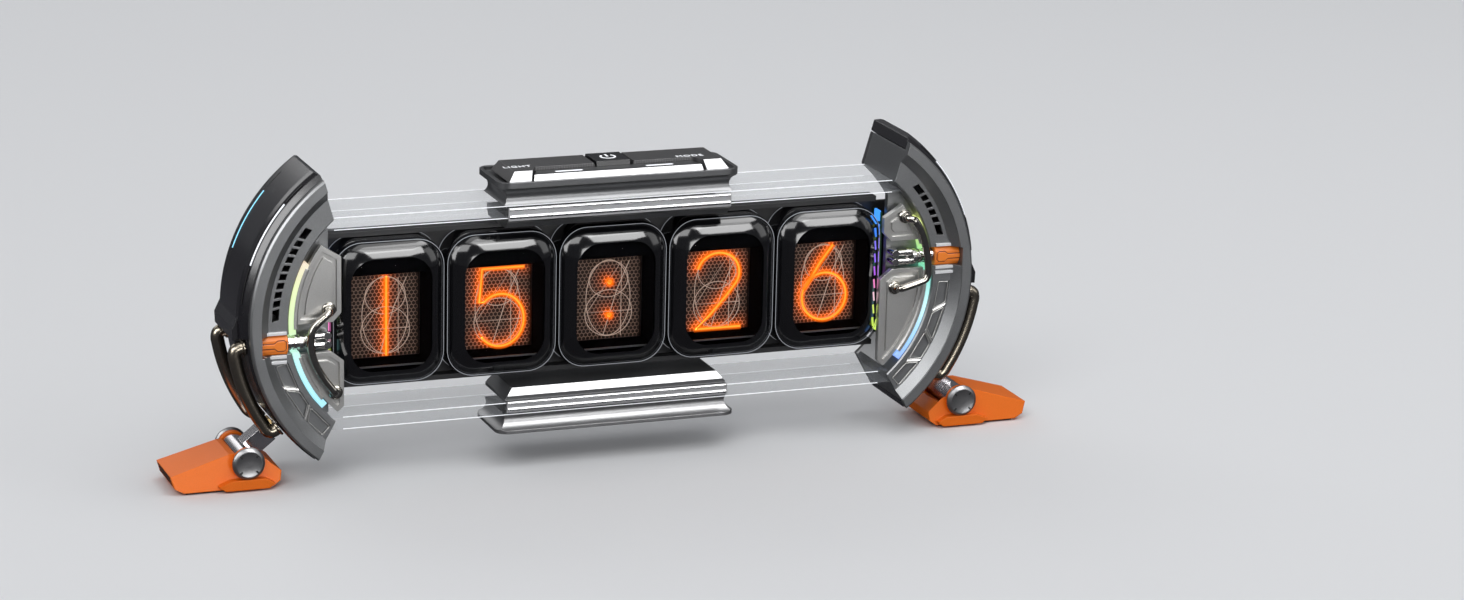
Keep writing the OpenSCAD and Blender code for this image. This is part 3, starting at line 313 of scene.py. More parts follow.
def surface(name, color, rough, metal=0.0, scale=2500.0, spread=0.12, rough_spread=0.12, bump=0.06,
            stretch=(1, 1, 1), soft_edge=0.0002, coat=0.0, coat_rough=0.04, specular=0.5, ribs=None):
    """Finish with grain, edges softened by a radius in metres and, where asked, slanted ribs."""
    material, tree, shader = new_material(name, {
        "Metallic": metal, "Coat Weight": coat, "Coat Roughness": coat_rough,
        "Specular IOR Level": specular})
    grain = add_group(tree, GRAIN, {
        "Color": (*color, 1), "Roughness": rough, "Scale": scale, "Stretch": stretch,
        "Color spread": spread, "Roughness spread": rough_spread})
    tree.links.new(grain.outputs["Roughness"], shader.inputs["Roughness"])
    pattern = grain
    if ribs:
        pattern = add_group(tree, RIBS, {"Ribs per metre": ribs})
        tree.links.new(grain.outputs["Color"], pattern.inputs["Color"])
    relief = tree.nodes.new("ShaderNodeBump")
    set_inputs(relief, {"Strength": bump, "Distance": BUMP_DEEP})
    tree.links.new(pattern.outputs["Color"], shader.inputs["Base Color"])
    tree.links.new(pattern.outputs["Height"], relief.inputs["Height"])
    if soft_edge:
        edge = tree.nodes.new("ShaderNodeBevel")
        edge.samples = 4
        edge.inputs["Radius"].default_value = soft_edge
        tree.links.new(edge.outputs[0], relief.inputs["Normal"])
    tree.links.new(relief.outputs[0], shader.inputs["Normal"])
    return material


def clear(name, color, rough, ior):
    """Clear glass with slow handling marks in its roughness."""
    material, tree, shader = new_material(name, {
        "Base Color": (*color, 1), "Transmission Weight": 1.0, "IOR": ior})
    grain = add_group(tree, GRAIN, {
        "Roughness": rough, "Roughness spread": 0.5 * rough, "Grain share": 0.0})
    tree.links.new(grain.outputs["Roughness"], shader.inputs["Roughness"])
    return material


def thin_clear(name, color, least, most):
    """Clear sheet that hardly shows face on and turns paler where it is seen at a slant."""
    material, tree, shader = new_material(name, {"Base Color": (*color, 1), "Roughness": 0.05})
    slant = tree.nodes.new("ShaderNodeLayerWeight")
    slant.inputs["Blend"].default_value = 0.5
    rise = math_node(tree, "POWER", slant.outputs["Facing"], 3.0)
    cover = math_node(tree, "MULTIPLY_ADD", rise, most - least, least)
    tree.links.new(cover, shader.inputs["Alpha"])
    return material


def halo(name, color, strength, cover):
    """Soft light round a lit wire, clear at its edges."""
    material = glow(name, color, strength, base=(0, 0, 0))
    tree = material.node_tree
    facing = tree.nodes.new("ShaderNodeLayerWeight")
    facing.inputs["Blend"].default_value = 0.5
    inner = math_node(tree, "SUBTRACT", 1.0, facing.outputs["Facing"])
    soft = math_node(tree, "MULTIPLY", math_node(tree, "POWER", inner, 2.0), cover)
    shader = tree.nodes["Principled BSDF"]
    shader.inputs["Specular IOR Level"].default_value = 0.0
    tree.links.new(soft, shader.inputs["Alpha"])
    return material


def glow(name, color, strength, base=(0.02, 0.02, 0.02), attribute=None):
    """Lit surface in one colour, or in the colours stored on the mesh."""
    material, tree, shader = new_material(name, {
        "Base Color": (*base, 1), "Roughness": 0.45, "Emission Strength": strength})
    if attribute:
        stored = tree.nodes.new("ShaderNodeAttribute")
        stored.attribute_name = attribute
        tree.links.new(stored.outputs["Color"], shader.inputs["Emission Color"])
    else:
        shader.inputs["Emission Color"].default_value = (*color, 1)
    return material


def strip_light(name, stops):
    """Light strip whose colour changes with height; stops are height in millimetres and colour."""
    material = glow(name, (1, 1, 1), 0.9, base=(0.3, 0.35, 0.35))
    tree = material.node_tree
    place = tree.nodes.new("ShaderNodeTexCoord").outputs["Object"]
    split = tree.nodes.new("ShaderNodeSeparateXYZ")
    tree.links.new(place, split.inputs[0])
    low, high = stops[0][0], stops[-1][0]
    ramp = tree.nodes.new("ShaderNodeValToRGB")
    span = high - low
    scaled = math_node(tree, "MULTIPLY_ADD", split.outputs["Z"], 1 / MM / span, -low / span)
    tree.links.new(scaled, ramp.inputs[0])
    band = ramp.color_ramp
    while len(band.elements) < len(stops):
        band.elements.new(0.5)
    for element, (height, color) in zip(band.elements, stops):
        element.position = (height - low) / span
        element.color = (*color, 1)
    tree.links.new(ramp.outputs[0], tree.nodes["Principled BSDF"].inputs["Emission Color"])
    return material


FINISH = {
    "clear_plate": thin_clear("clear_plate", (0.8, 0.83, 0.86), 0.05, 0.45),
    "cell_glass": clear("cell_glass", (0.97, 0.97, 0.975), 0.004, 1.02),
    "screen": surface("screen_black", (0.008, 0.008, 0.009), 0.3, bump=0.02),
    "tray_grey": surface("tray_dark", (0.035, 0.035, 0.037), 0.45, metal=0.3, spread=0.2),
}


def add_finish(slot, *values, **extra):
    """Finish of one material slot, under the name of the slot."""
    FINISH[slot] = surface(slot, *values, **extra)


add_finish("arch_grey", (0.27, 0.275, 0.28), 0.36, metal=0.85, scale=4200, spread=0.5, bump=0.12)
add_finish("shell_gloss", (0.012, 0.011, 0.014), 0.26, metal=0.2, rough_spread=0.06, bump=0.01,
           soft_edge=0.0005, coat=1.0, coat_rough=0.2)
add_finish("rear_black", (0.05, 0.05, 0.053), 0.5, scale=3500, spread=0.3, bump=0.25)
add_finish("trim_silver", (0.55, 0.545, 0.53), 0.34, metal=0.85, scale=3800, spread=0.35, bump=0.1)
add_finish("handle_nickel", (0.42, 0.40, 0.36), 0.12, metal=1.0, spread=0.06, bump=0.0)
add_finish("orange_trim", (0.98, 0.25, 0.025), 0.34, scale=3000, bump=0.05, specular=0.3)
add_finish("hose_chrome", (0.62, 0.61, 0.6), 0.16, metal=1.0, spread=0.06, bump=0.02)
add_finish("pipe_nickel", (0.34, 0.3, 0.24), 0.24, metal=1.0, scale=900, spread=0.4, bump=0.0)
add_finish("board_green", (0.02, 0.09, 0.045), 0.4, spread=0.25)
add_finish("speaker_black", (0.02, 0.02, 0.02), 0.6, spread=0.3, bump=0.2)
add_finish("steel_plain", (0.55, 0.55, 0.55), 0.3, metal=1.0, stretch=(1, 1, 0.08))
add_finish("bar_dark", (0.17, 0.172, 0.176), 0.34, metal=0.8, scale=4200, spread=0.35, bump=0.08)
add_finish("key_dark", (0.15, 0.148, 0.15), 0.4, metal=0.6, bump=0.35, ribs=1500.0)
add_finish("key_black", (0.012, 0.012, 0.014), 0.22, bump=0.02)
add_finish("clamp_satin", (0.3, 0.3, 0.305), 0.36, metal=0.9, spread=0.2, bump=0.05)
add_finish("screw_steel", (0.2, 0.2, 0.205), 0.35, metal=1.0, spread=0.2)
add_finish("leg_mirror", (0.7, 0.68, 0.7), 0.16, metal=1.0, spread=0.05, bump=0.0)
add_finish("foot_orange", (0.86, 0.17, 0.008), 0.42, metal=0.1, scale=5200, spread=0.25, bump=0.05,
           soft_edge=0.0004, coat=0.05, specular=0.18)
add_finish("sole_rubber", (0.012, 0.012, 0.012), 0.75, scale=2600, spread=0.4, bump=0.4)
add_finish("pin_grey", (0.27, 0.27, 0.275), 0.32, metal=0.9, spread=0.25, soft_edge=0.0004)

RIBBED_BAR = surface("ribbed_bar", (0.1, 0.1, 0.102), 0.38, metal=0.7, bump=0.5, ribs=1100.0)
LINER_BLACK = surface("liner_black", (0.004, 0.004, 0.005), 0.6, bump=0.01, specular=0.0)
BRIGHT_EDGE = surface("bright_edge", (0.5, 0.5, 0.51), 0.34, metal=0.6, spread=0.1, bump=0.03)
BEVEL_SATIN = surface("bevel_satin", (0.42, 0.42, 0.425), 0.38, metal=0.9, spread=0.15, bump=0.05)
BAR_SILVER = surface("bar_silver", (0.88, 0.88, 0.89), 0.3, metal=0.2, spread=0.05, bump=0.02)
BEAD_CHROME = surface("bead_chrome", (0.55, 0.55, 0.56), 0.26, metal=1.0, spread=0.04, bump=0.0,
                      soft_edge=0.0)
BRASS_NUT = surface("brass_nut", (0.55, 0.4, 0.2), 0.18, metal=1.0, spread=0.1)
LEDGE_GREY = surface("ledge_grey", (0.3, 0.3, 0.31), 0.3, metal=0.8, spread=0.1)
# Dark orange border round the plug's raised key shape: painted shadow of the relief
ORANGE_SHADOW_LINE = surface("orange_shadow_line", (0.2, 0.035, 0.004), 0.5, bump=0.02)
# Near black for dark marks and fine lines, and as painted shade inside the vents
DARK_MARK_AND_SHADE = surface("dark_mark_and_shade", (0.01, 0.01, 0.01), 0.6, spread=0.2)
GLASS_RIM = surface("glass_rim", (0.004, 0.004, 0.005), 0.13, spread=0.0, rough_spread=0.03, bump=0.0,
                    soft_edge=0.0, coat=0.7, coat_rough=0.1)
GLASS_INSIDE = clear("cell_glass_inside", (0.98, 0.98, 0.985), 0.004, 1.02)
# Glowing lines round the glass outlines: painted highlights of the glass edges
GLASS_EDGE_HIGHLIGHT = glow("glass_edge_highlight", (0.9, 0.93, 1.0), 0.16, base=(0.3, 0.32, 0.35))
# Glowing lines on the clear plates' edges: painted edge highlights
PLATE_EDGE_HIGHLIGHT = glow("plate_edge_highlight", (0.95, 0.97, 1.0), 0.5, base=(0.8, 0.82, 0.85))
# Pale print that also glows faintly: painted light on top of the print's own colour
PALE_INK_PAINTED_GLOW = glow("pale_ink_painted_glow", (0.9, 0.92, 0.95), 0.5, base=(0.75, 0.76, 0.78))
# Unlit wires glow faintly: painted light on them
COLD_WIRE_PAINTED_GLOW = glow("cold_wire_painted_glow", (0.95, 0.66, 0.5), 0.34, base=(0.3, 0.27, 0.25))
LIT_CORE = glow("lit_digit", (1.0, 0.48, 0.05), 1.8)
LIT_HALO = halo("lit_halo", (1.0, 0.15, 0.005), 1.2, 0.65)
LIT_MESH = glow("lit_mesh", None, 1.0, base=(0.16, 0.12, 0.1), attribute="glow")
LIT_SCREEN = glow("lit_screen", None, 1.0, base=(0.01, 0.005, 0.003), attribute="glow")
WHITE_LINE = glow("white_line", (0.9, 0.93, 1.0), 1.0, base=(0.5, 0.5, 0.5))
CYAN_LINE = glow("cyan_line", (0.25, 0.75, 1.0), 1.0, base=(0.3, 0.5, 0.6))
STRIP = {
    "left": strip_light("left_strip", [
        (12, (0.1, 0.35, 0.85)), (22, (0.25, 0.75, 0.95)), (40, (0.45, 0.9, 0.9)),
        (50, (0.6, 0.85, 0.35)), (64, (0.75, 0.8, 0.35)), (75, (0.85, 0.55, 0.5))]),
    "right": strip_light("right_strip", [
        (22, (0.12, 0.2, 0.9)), (32, (0.25, 0.6, 1.0)), (42, (0.55, 0.9, 0.95)),
        (52, (0.15, 0.75, 0.6)), (60, (0.35, 0.8, 0.3)), (68, (0.75, 0.85, 0.2))]),
}

for row in frame["record"]["subparts"]:
    if row["node"].endswith("_guide"):
        finish = STRIP[row["node"].split("_")[0]]
    elif row["node"] == "bottom_bar":
        finish = RIBBED_BAR
    else:
        finish = FINISH[row["material_slot"]]
    node = frame["nodes"][row["node"]]
    node.data.materials.clear()
    node.data.materials.append(finish)


def paint(name, material, chosen):
    """Second finish on the faces of a CAD node that a test of middle and direction picks."""
    mesh = frame["nodes"][name].data
    mesh.materials.append(material)
    for face in mesh.polygons:
        if chosen(face.center / MM, face.normal):
            face.material_index = len(mesh.materials) - 1


# A face counts as square to a direction past FLAT, and as slanted from SLANT on
FLAT, SLANT = 0.9, 0.3
LIP_Y = corners("top_clamp")[0].y + 0.3
LEDGE_LOW = corners("top_bar")[1].z - 2.6
# Bars beside the plugs: reach above and below a plug, heights off the band, ends
BAR_REACH, BAR_LOW, BAR_HIGH, BAR_IN, BAR_OUT = 6.5, 0.05, 0.65, ARC_X + 42.8, ARC_X + 50.2
# Inside of the vents, painted dark as shade: depths behind the band, radii
VENT_NEAR, VENT_FAR, VENT_IN, VENT_OUT = 0.1, 3.6, 45.2, 47.7


def on_lip(c, n):
    """Whether a face with this middle and direction is the front of a bar's lip."""
    return c.y < LIP_Y and n.y < -FLAT


def slanted(n):
    """Whether a face leans back from the front."""
    return -0.95 < n.y < -SLANT


for bar in ("top_clamp", "bottom_bar"):
    paint(bar, BRIGHT_EDGE, on_lip)
paint("bottom_bar", BEVEL_SATIN, lambda c, n: slanted(n) and n.z > SLANT)
paint("bottom_bar", FINISH["bar_dark"], lambda c, n: n.z < 0.95 and not slanted(n) and c.y > LIP_Y)
paint("top_bar", BEVEL_SATIN, lambda c, n: n.y < -SLANT and n.z > SLANT and c.z > LEDGE_LOW)
for key in ("light_key", "mode_key"):
    paint(key, FINISH["clamp_satin"], lambda c, n: n.y < -SLANT and n.z > 0.2)
for name in SIDES:
    plug_z = ARC_Z + PLUG_DZ[name]
    paint(name + "_bracket", BAR_SILVER,
          lambda c, n: abs(c.z - plug_z) < BAR_REACH and BAR_LOW < Y_BAND - c.y < BAR_HIGH
          and (n.y < -FLAT or abs(n.z) > FLAT) and BAR_IN < abs(c.x) < BAR_OUT)
    # Floors and walls inside the vents painted near black: painted shade
    paint(name + "_bracket", DARK_MARK_AND_SHADE,
          lambda c, n: c.z > plug_z + BAR_REACH and VENT_NEAR < c.y - Y_BAND < VENT_FAR and n.y < 0.5
          and VENT_IN < math.hypot(abs(c.x) - ARC_X, c.z - ARC_Z) < VENT_OUT)


# Digit cells: black liner with a tapered window, mesh, wires and the lit figure

# Depths of the screen, the mesh, the first cold wire and the lit figure, and the gap between wires
SCREEN_Y, MESH_Y, WIRE_Y, FIGURE_Y, WIRE_GAP = -0.56, -0.74, -1.05, -2.5, 0.22
LINER_W, LINER_H, LINER_CORNER, LINER_BEND = 31.6, 41.4, 6.4, 5.0
LINER_FRONT, LINER_BACK, FRAME_W, FRAME_H = -7.3, -1.1, 26.0, 29.6
GLASS_BEND, GLASS_DEEP, GLASS_CORNER, GLASS_WALL = 9.0, 6.8, 9.0, 0.6
# Rows of faces from the middle of the front that stay clear; the rim outside them is masked in black
CLEAR_ROWS = 5


def figure_courses():
    """Courses of the figures inside a window, from 0 to 1 across and up."""
    def arc(cx, cz, rx, rz, a1, a2, steps=26):
        turns = [math.radians(a1 + (a2 - a1) * k / steps) for k in range(steps + 1)]
        return [(cx + rx * math.cos(a), cz + rz * math.sin(a)) for a in turns]

    one = [[(0.5, 0.03), (0.5, 0.5), (0.5, 0.97)]]
    two = [arc(0.5, 0.71, 0.32, 0.25, 165, -28)
           + [(0.62, 0.42), (0.38, 0.2), (0.17, 0.04), (0.85, 0.04)]]
    five = [[(0.86, 0.97), (0.25, 0.97), (0.21, 0.57)] + arc(0.52, 0.345, 0.345, 0.315, 134, -142)]
    six = [[(0.62, 0.96), (0.42, 0.74), (0.22, 0.46)] + arc(0.5, 0.33, 0.34, 0.29, 160, 520, 40)]
    colon = [arc(0.5, z, 0.016, 0.013, 0, 360, 12) for z in (0.3, 0.7)]
    rest = {
        "ring": arc(0.5, 0.5, 0.33, 0.46, 0, 360, 40),
        "high": arc(0.5, 0.73, 0.29, 0.22, 0, 360, 32),
        "low": arc(0.5, 0.32, 0.35, 0.28, 0, 360, 36),
        "slope": [(0.8, 0.94), (0.62, 0.6), (0.42, 0.05)],
        "four": [(0.68, 0.04), (0.68, 0.94), (0.17, 0.34), (0.84, 0.34)],
    }
    return [one, five, colon, two, six], rest


def cell_x(i):
    """Middle of a cell, counted from 1 at the left."""
    return (i - 3) * CELL_PITCH


def window_point(i, u, v):
    """Point of a cell's window, from 0 to 1 across and up, in millimetres."""
    return (cell_x(i) + (u - 0.5) * WINDOW_W, WINDOW_Z + (v - 0.5) * WINDOW_H)


def distance_to(courses, x, z):
    """Shortest distance from a point of the window to any of the courses."""
    best = 1e9
    for course in courses:
        for (x1, z1), (x2, z2) in zip(course, course[1:]):
            dx, dz = x2 - x1, z2 - z1
            t = max(0.0, min(1.0, ((x - x1) * dx + (z - z1) * dz) / (dx * dx + dz * dz + 1e-9)))
            best = min(best, math.hypot(x - x1 - t * dx, z - z1 - t * dz))
    return best


def store_glow(piece, courses, near, far, tint, rest):
    """Stores the figure's light on a piece: two falls of strength and reach, and what is left far off."""
    mesh = piece.data
    layer = mesh.color_attributes.new("glow", "FLOAT_COLOR", "POINT")
    for k, vert in enumerate(mesh.vertices):
        d = distance_to(courses, vert.co.x / MM, vert.co.z / MM)
        g = near[0] * math.exp(-(d / near[1]) ** 2) + far[0] * math.exp(-(d / far[1]) ** 2)
        layer.data[k].color = (*(t * g + r for t, r in zip(tint, rest)), 1.0)


def make_liner(i):
    """Black frame behind the glass, with a sloping window, and the ledge under the window."""
    cx, steps = cell_x(i), 6

    def outline(w, h, corner, y, z):
        return [(cx + u, y, z + v) for u, v in round_rect(w, h, corner)]

    loops = [outline(LINER_W, LINER_H, LINER_CORNER, LINER_BACK, CELL_Z)]
    for k in range(steps + 1):
        a = math.radians(90 * k / steps)
        inset = LINER_BEND * (1 - math.cos(a))
        loops.append(outline(LINER_W - 0.5 * inset, LINER_H - 1.7 * inset, LINER_CORNER - 0.8 * inset,
                             LINER_FRONT + LINER_BEND * (1 - math.sin(a)), CELL_Z))
    loops.append(outline(FRAME_W, FRAME_H, 1.0, LINER_FRONT, WINDOW_Z))
    loops.append(outline(FRAME_W - 0.6, FRAME_H - 0.6, 0.8, LINER_FRONT + 0.4, WINDOW_Z))
    loops.append(outline(WINDOW_W + 0.3, WINDOW_H + 0.3, 0.3, LINER_BACK, WINDOW_Z))
    bm = bmesh.new()
    loft(bm, loops, join_ends=True)
    add_piece("cell_%d_liner" % i, bm, LINER_BLACK)
    bm = bmesh.new()
    tube(bm, [(cx + x, LINER_FRONT - 0.05, WINDOW_Z - 14.7) for x in (-13.1, -6.5, 0.0, 6.5, 13.1)],
         0.3, sides=10)
    add_piece("cell_%d_ledge" % i, bm, LEDGE_GREY)


def make_glass(i):
    """Hollow glass block with a softly rounded front, open at the rear."""
    name = "cell_%d" % i
    low, high = corners(name)
    cx, w, h, steps = (low.x + high.x) / 2, high.x - low.x, high.z - low.z, 14

    def outline(inset, cut, y):
        less = 2 * (inset + cut)
        ring = round_rect(w - less, h - less, GLASS_CORNER - inset - 0.3 * cut, 12)
        return [(cx + x, y, CELL_Z + z) for x, z in ring]

    def skin(inset):
        rows = [outline(inset, 0.0, high.y)]
        for k in range(steps + 1):
            a = math.radians(90 * k / steps)
            rows.append(outline(inset, (GLASS_BEND - inset) * (1 - math.cos(a)),
                                low.y + inset + (GLASS_DEEP - inset) * (1 - math.sin(a))))
        rows.append(outline(inset, GLASS_BEND - inset + 1.0, low.y + inset))
        return rows

    outer, inner = skin(0.0)[::-1], skin(GLASS_WALL)
    bm = bmesh.new()
    loft(bm, outer + inner)
    piece = add_piece(name + "_glass", bm, FINISH["cell_glass"], replaces=[name])
    piece.data.materials.append(GLASS_INSIDE)
    piece.data.materials.append(GLASS_RIM)
    # Faces come in rows from the front of the outer skin to the front of the inner one, then both caps
    around = len(outer[0])
    front_cap = len(piece.data.polygons) - 2
    for face in piece.data.polygons:
        row = face.index // around
        if face.index > front_cap or len(outer) <= row and face.index < front_cap:
            face.material_index = 1
        elif CLEAR_ROWS <= row and face.index < front_cap:
            face.material_index = 2
    # Two thin glowing rings round the glass: painted highlights along its edges
    bm = bmesh.new()
    for cut, y in ((-0.05, high.y - 0.4), (0.4, low.y + 0.6 * GLASS_DEEP)):
        ring = outline(0.0, cut, y)
        tube(bm, ring + ring[:2], 0.1, sides=6)
    add_piece(name + "_glass_edges", bm, GLASS_EDGE_HIGHLIGHT)


def make_screen(i, courses):
    """Fine grid behind the mesh that holds the glow of the lit figure."""
    nx, nz = 50, 60
    rows = []
    for j in range(nz + 1):
        spots = [window_point(i, k / nx, j / nz) for k in range(nx + 1)]
        rows.append([(x, SCREEN_Y, z) for x, z in spots])
    bm = bmesh.new()
    loft(bm, rows, cap_first=False, cap_last=False, ring=False)
    piece = add_piece("display_%d_screen" % i, bm, LIT_SCREEN)
    store_glow(piece, courses, (0.55, 1.0), (0.13, 2.6), (1.0, 0.13, 0.004), (0.002, 0.0008, 0.0005))


def make_mesh(i, courses):
    """Sheet of six sided holes in front of the screen."""
    pitch, rim = 1.32, 0.13
    across = pitch / math.sqrt(3)
    six = [(math.sin(math.radians(60 * k)), math.cos(math.radians(60 * k))) for k in range(6)]
    left, low = cell_x(i) - WINDOW_W / 2, WINDOW_Z - WINDOW_H / 2
    bm = bmesh.new()
    for row in range(int(WINDOW_H / (1.5 * across)) + 1):
        z = low + 0.5 + row * 1.5 * across
        for col in range(int(WINDOW_W / pitch)):
            x = left + 0.7 + (col + 0.5 * (row % 2)) * pitch
            if x > left + WINDOW_W - 0.6 or z > low + WINDOW_H - 0.5:
                continue
            loft(bm, [[(x + r * u, MESH_Y, z + r * v) for u, v in six] for r in (across, across - rim)],
                 cap_first=False, cap_last=False)
    bmesh.ops.remove_doubles(bm, verts=bm.verts, dist=0.02 * MM)
    piece = add_piece("display_%d_mesh" % i, bm, LIT_MESH)
    store_glow(piece, courses, (1.0, 1.2), (0.5, 3.4), (1.0, 0.15, 0.006), (0.11, 0.062, 0.042))


def make_wires(i, rest, lit):
    """Cold wires one behind the other, with a faint painted glow standing in for the light on them, and
    the lit figure with the soft light round it.
    """
    bm = bmesh.new()
    for k, course in enumerate(rest.values()):
        pts = [window_point(i, u, v) for u, v in course]
        tube(bm, [(x, WIRE_Y - WIRE_GAP * k, z) for x, z in pts], 0.12, sides=6)
    add_piece("display_%d_wires" % i, bm, COLD_WIRE_PAINTED_GLOW)
    core = 0.3 if len(lit) == 1 else 0.42
    for part, material, radius, sides in (("figure", LIT_CORE, core, 8),
                                          ("halo", LIT_HALO, core * 3.6, 16)):
        bm = bmesh.new()
        for course in lit:
            tube(bm, [(x, FIGURE_Y, z) for x, z in course], radius, sides)
        add_piece("display_%d_%s" % (i, part), bm, material)


figures, unlit = figure_courses()
for number, figure in enumerate(figures, start=1):
    lit = [[window_point(number, u, v) for u, v in course] for course in figure]
    make_glass(number)
    make_liner(number)
    make_screen(number, lit)
    make_mesh(number, lit)
    make_wires(number, unlit, lit)


# Side details: handle bars, plug bosses, light lines, lamps, nuts and pins

# Handle courses as distance off the trim edge and height off the plug
HANDLE_COURSE = {
    "right": [(8, 13.6), (10.2, 12.8), (12.2, 9.6), (13.9, 5), (14.9, 0.8), (15.4, -3.6), (15, -6.2),
              (13.4, -7.5), (5.2, -9.8)],
    "left": [(4.8, 9.8), (7.4, 8), (10, 5.5), (11.2, 2.8), (11.3, -1.2), (10.1, -5.9), (7.6, -10.7),
             (4.6, -14.8), (2.7, -16.8)],
}
HANDLE_R = 1.2
# Bend of a handle's end down to the trim: distance along the bar and depth
HANDLE_END = ((0, Y_TRIM - 0.2), (0.15, Y_TRIM - 1.2), (0.8, Y_HANDLE + 0.9), (2.0, Y_HANDLE + 0.1))
# Turned shapes below are given as radius and distance along their axis
GROMMET = ((2.2, 0.02), (2.2, 0.5), (1.95, 0.8), (1.75, 0.85), (1.6, 0.7), (1.6, 1.3), (1.45, 1.6),
           (1.25, 1.6))


def make_handle(name, side, dz):
    """Bent handle bar with a grommet at each end."""
    flat = [Vector((side * (TRIM_X + x), 0, ARC_Z + dz + z)) for x, z in HANDLE_COURSE[name]]

    def end(first, after):
        inward = (after - first).normalized()
        return [first + inward * far + Vector((0, y, 0)) for far, y in HANDLE_END]

    course = end(flat[0], flat[1]) + [q + Vector((0, Y_HANDLE, 0)) for q in flat[1:-1]]
    course += end(flat[-1], flat[-2])[::-1]
    bm = bmesh.new()
    tube(bm, smooth_course(course, 6), HANDLE_R, sides=20)
    for spot in (course[0], course[-1]):
        lathe(bm, (spot.x, Y_TRIM, spot.z), (0, -1, 0), GROMMET, sides=30)
    add_piece(name + "_handle_bar", bm, FINISH["handle_nickel"],
              replaces=[name + "_handle"])


# Pipes: radius of their arc, half thickness, angles of both ends, radius of the shell, depths
PIPE_R, PIPE_HALF, PIPE_TOP, PIPE_LOW, SHELL_LOW = 59.2, 2.1, -7.2, -36.5, 55.6
PIPE_Y = (-9.2, 12.4)
# How a pipe leaves the shell: radius and angle past its end
PIPE_BEND = ((SHELL_LOW + 0.3, 0), (57.2, 0), (58.6, 0.5))
PIPE_COLLAR = ((2.5, 0.25), (2.7, 0.4), (2.7, 0.8), (2.45, 1.05), (2.2, 1.1))


def make_pipes(name, side):
    """Two round bent pipes, each with a collar where it meets the shell."""
    steps, first, sweep = 16, PIPE_TOP - 2, PIPE_LOW - PIPE_TOP + 4
    bm = bmesh.new()
    for y in PIPE_Y:
        course = [arch_point(side, r, PIPE_TOP - t, y) for r, t in PIPE_BEND]
        course += [arch_point(side, PIPE_R, first + sweep * k / steps, y) for k in range(steps + 1)]
        course += [arch_point(side, r, PIPE_LOW + t, y) for r, t in reversed(PIPE_BEND)]
        tube(bm, smooth_course(course, 4), PIPE_HALF, sides=24)
        for a in (PIPE_TOP, PIPE_LOW):
            out = (side * math.cos(math.radians(a)), 0, math.sin(math.radians(a)))
            lathe(bm, arch_point(side, SHELL_LOW, a, y), out, PIPE_COLLAR, sides=28)
    add_piece(name + "_pipe_pair", bm, FINISH["pipe_nickel"],
              replaces=[name + "_pipes"])


# Ribs on the end of a foot: half length, lowest one, pitch, and section as distance out and height
RIB_HALF, RIB_LOW, RIB_PITCH = 7.6, 2.75, 1.05
RIB_SECTION = ((-0.5, 0), (0.0, 0.08), (0.22, 0.4), (0.3, 0.75), (-0.5, 0.8))
# The end face of a foot leans out by this share, up to this height
FOOT_LEAN, FOOT_EDGE = 0.316, 5.6


def make_end_strip(name, side):
    """Ribbed rubber strip on the outer end face of a foot."""
    low, high = corners(name + "_foot")
    x_end = high.x if side > 0 else low.x
    bm = bmesh.new()
    for k in range(3):
        z = RIB_LOW + k * RIB_PITCH
        x = x_end - side * (FOOT_EDGE - z) * FOOT_LEAN
        loft(bm, [[(x + side * d, y, z + h) for d, h in RIB_SECTION] for y in (-RIB_HALF, RIB_HALF)])
    add_piece(name + "_end_strip", bm, FINISH["sole_rubber"], body=name + "_foot")


# Key shape on a plug: ends of head and neck off the plug's inner end, half heights, cut corner, width of
# the painted shadow line round it
HEAD_IN, HEAD_OUT, NECK_IN, NECK_OUT = 0.7, 3.2, 4.3, 8.5
HEAD_HALF, NECK_HALF, HEAD_CUT, PLUG_SHADOW_LINE = 1.5, 0.65, 0.5, 0.3


def make_plug_boss(name, side, dz):
    """Raised key shape on the front of a plug, with a dark orange line round it as painted shadow."""
    def outline(grow, rise):
        head, neck = HEAD_HALF + grow, NECK_HALF + grow
        half = [(NECK_OUT + grow, neck), (NECK_IN, neck), (HEAD_OUT, head), (HEAD_IN + HEAD_CUT, head),
                (HEAD_IN - grow, HEAD_HALF - HEAD_CUT)]
        return [(side * (ARC_X + PLUG_IN + u), PLUG_FRONT - rise, ARC_Z + dz + w)
                for u, w in half + [(u, -w) for u, w in reversed(half)]]

    rows = [outline(PLUG_SHADOW_LINE, -0.05), outline(PLUG_SHADOW_LINE, 0.04), outline(0.0, 0.04),
            outline(0.0, 0.25), outline(-0.2, 0.4)]
    bm = bmesh.new()
    loft(bm, rows)
    piece = add_piece(name + "_plug_boss", bm, FINISH["orange_trim"], sharp=20)
    # The first two rows of faces form the flat border, painted dark orange as the relief's shadow
    piece.data.materials.append(ORANGE_SHADOW_LINE)
    for face in piece.data.polygons:
        if face.index < 2 * len(rows[0]):
            face.material_index = 1


def arc_ribbon(bm, side, section, a1, a2, steps):
    """Thin band swept round an arch; section is radius and depth."""
    turns = [a1 + (a2 - a1) * k / steps for k in range(steps + 1)]
    loft(bm, [[arch_point(side, r, a, y) for r, y in section] for a in turns])


# Lines on the shells, as radius and depth round each line's section
FRONT_LINE = ((56.78, -10.92), (56.88, -10.96), (57.08, -10.4), (56.97, -10.35))
REAR_LINE = ((57.5, 9.6), (57.7, 9.6), (57.7, 9.0), (57.5, 9.0))
FINE_FRONT = ((56.85, -10.75), (56.96, -10.8), (57.02, -10.5), (56.9, -10.45))
FINE_REAR = ((57.5, 9.4), (57.68, 9.4), (57.68, 9.2), (57.5, 9.2))
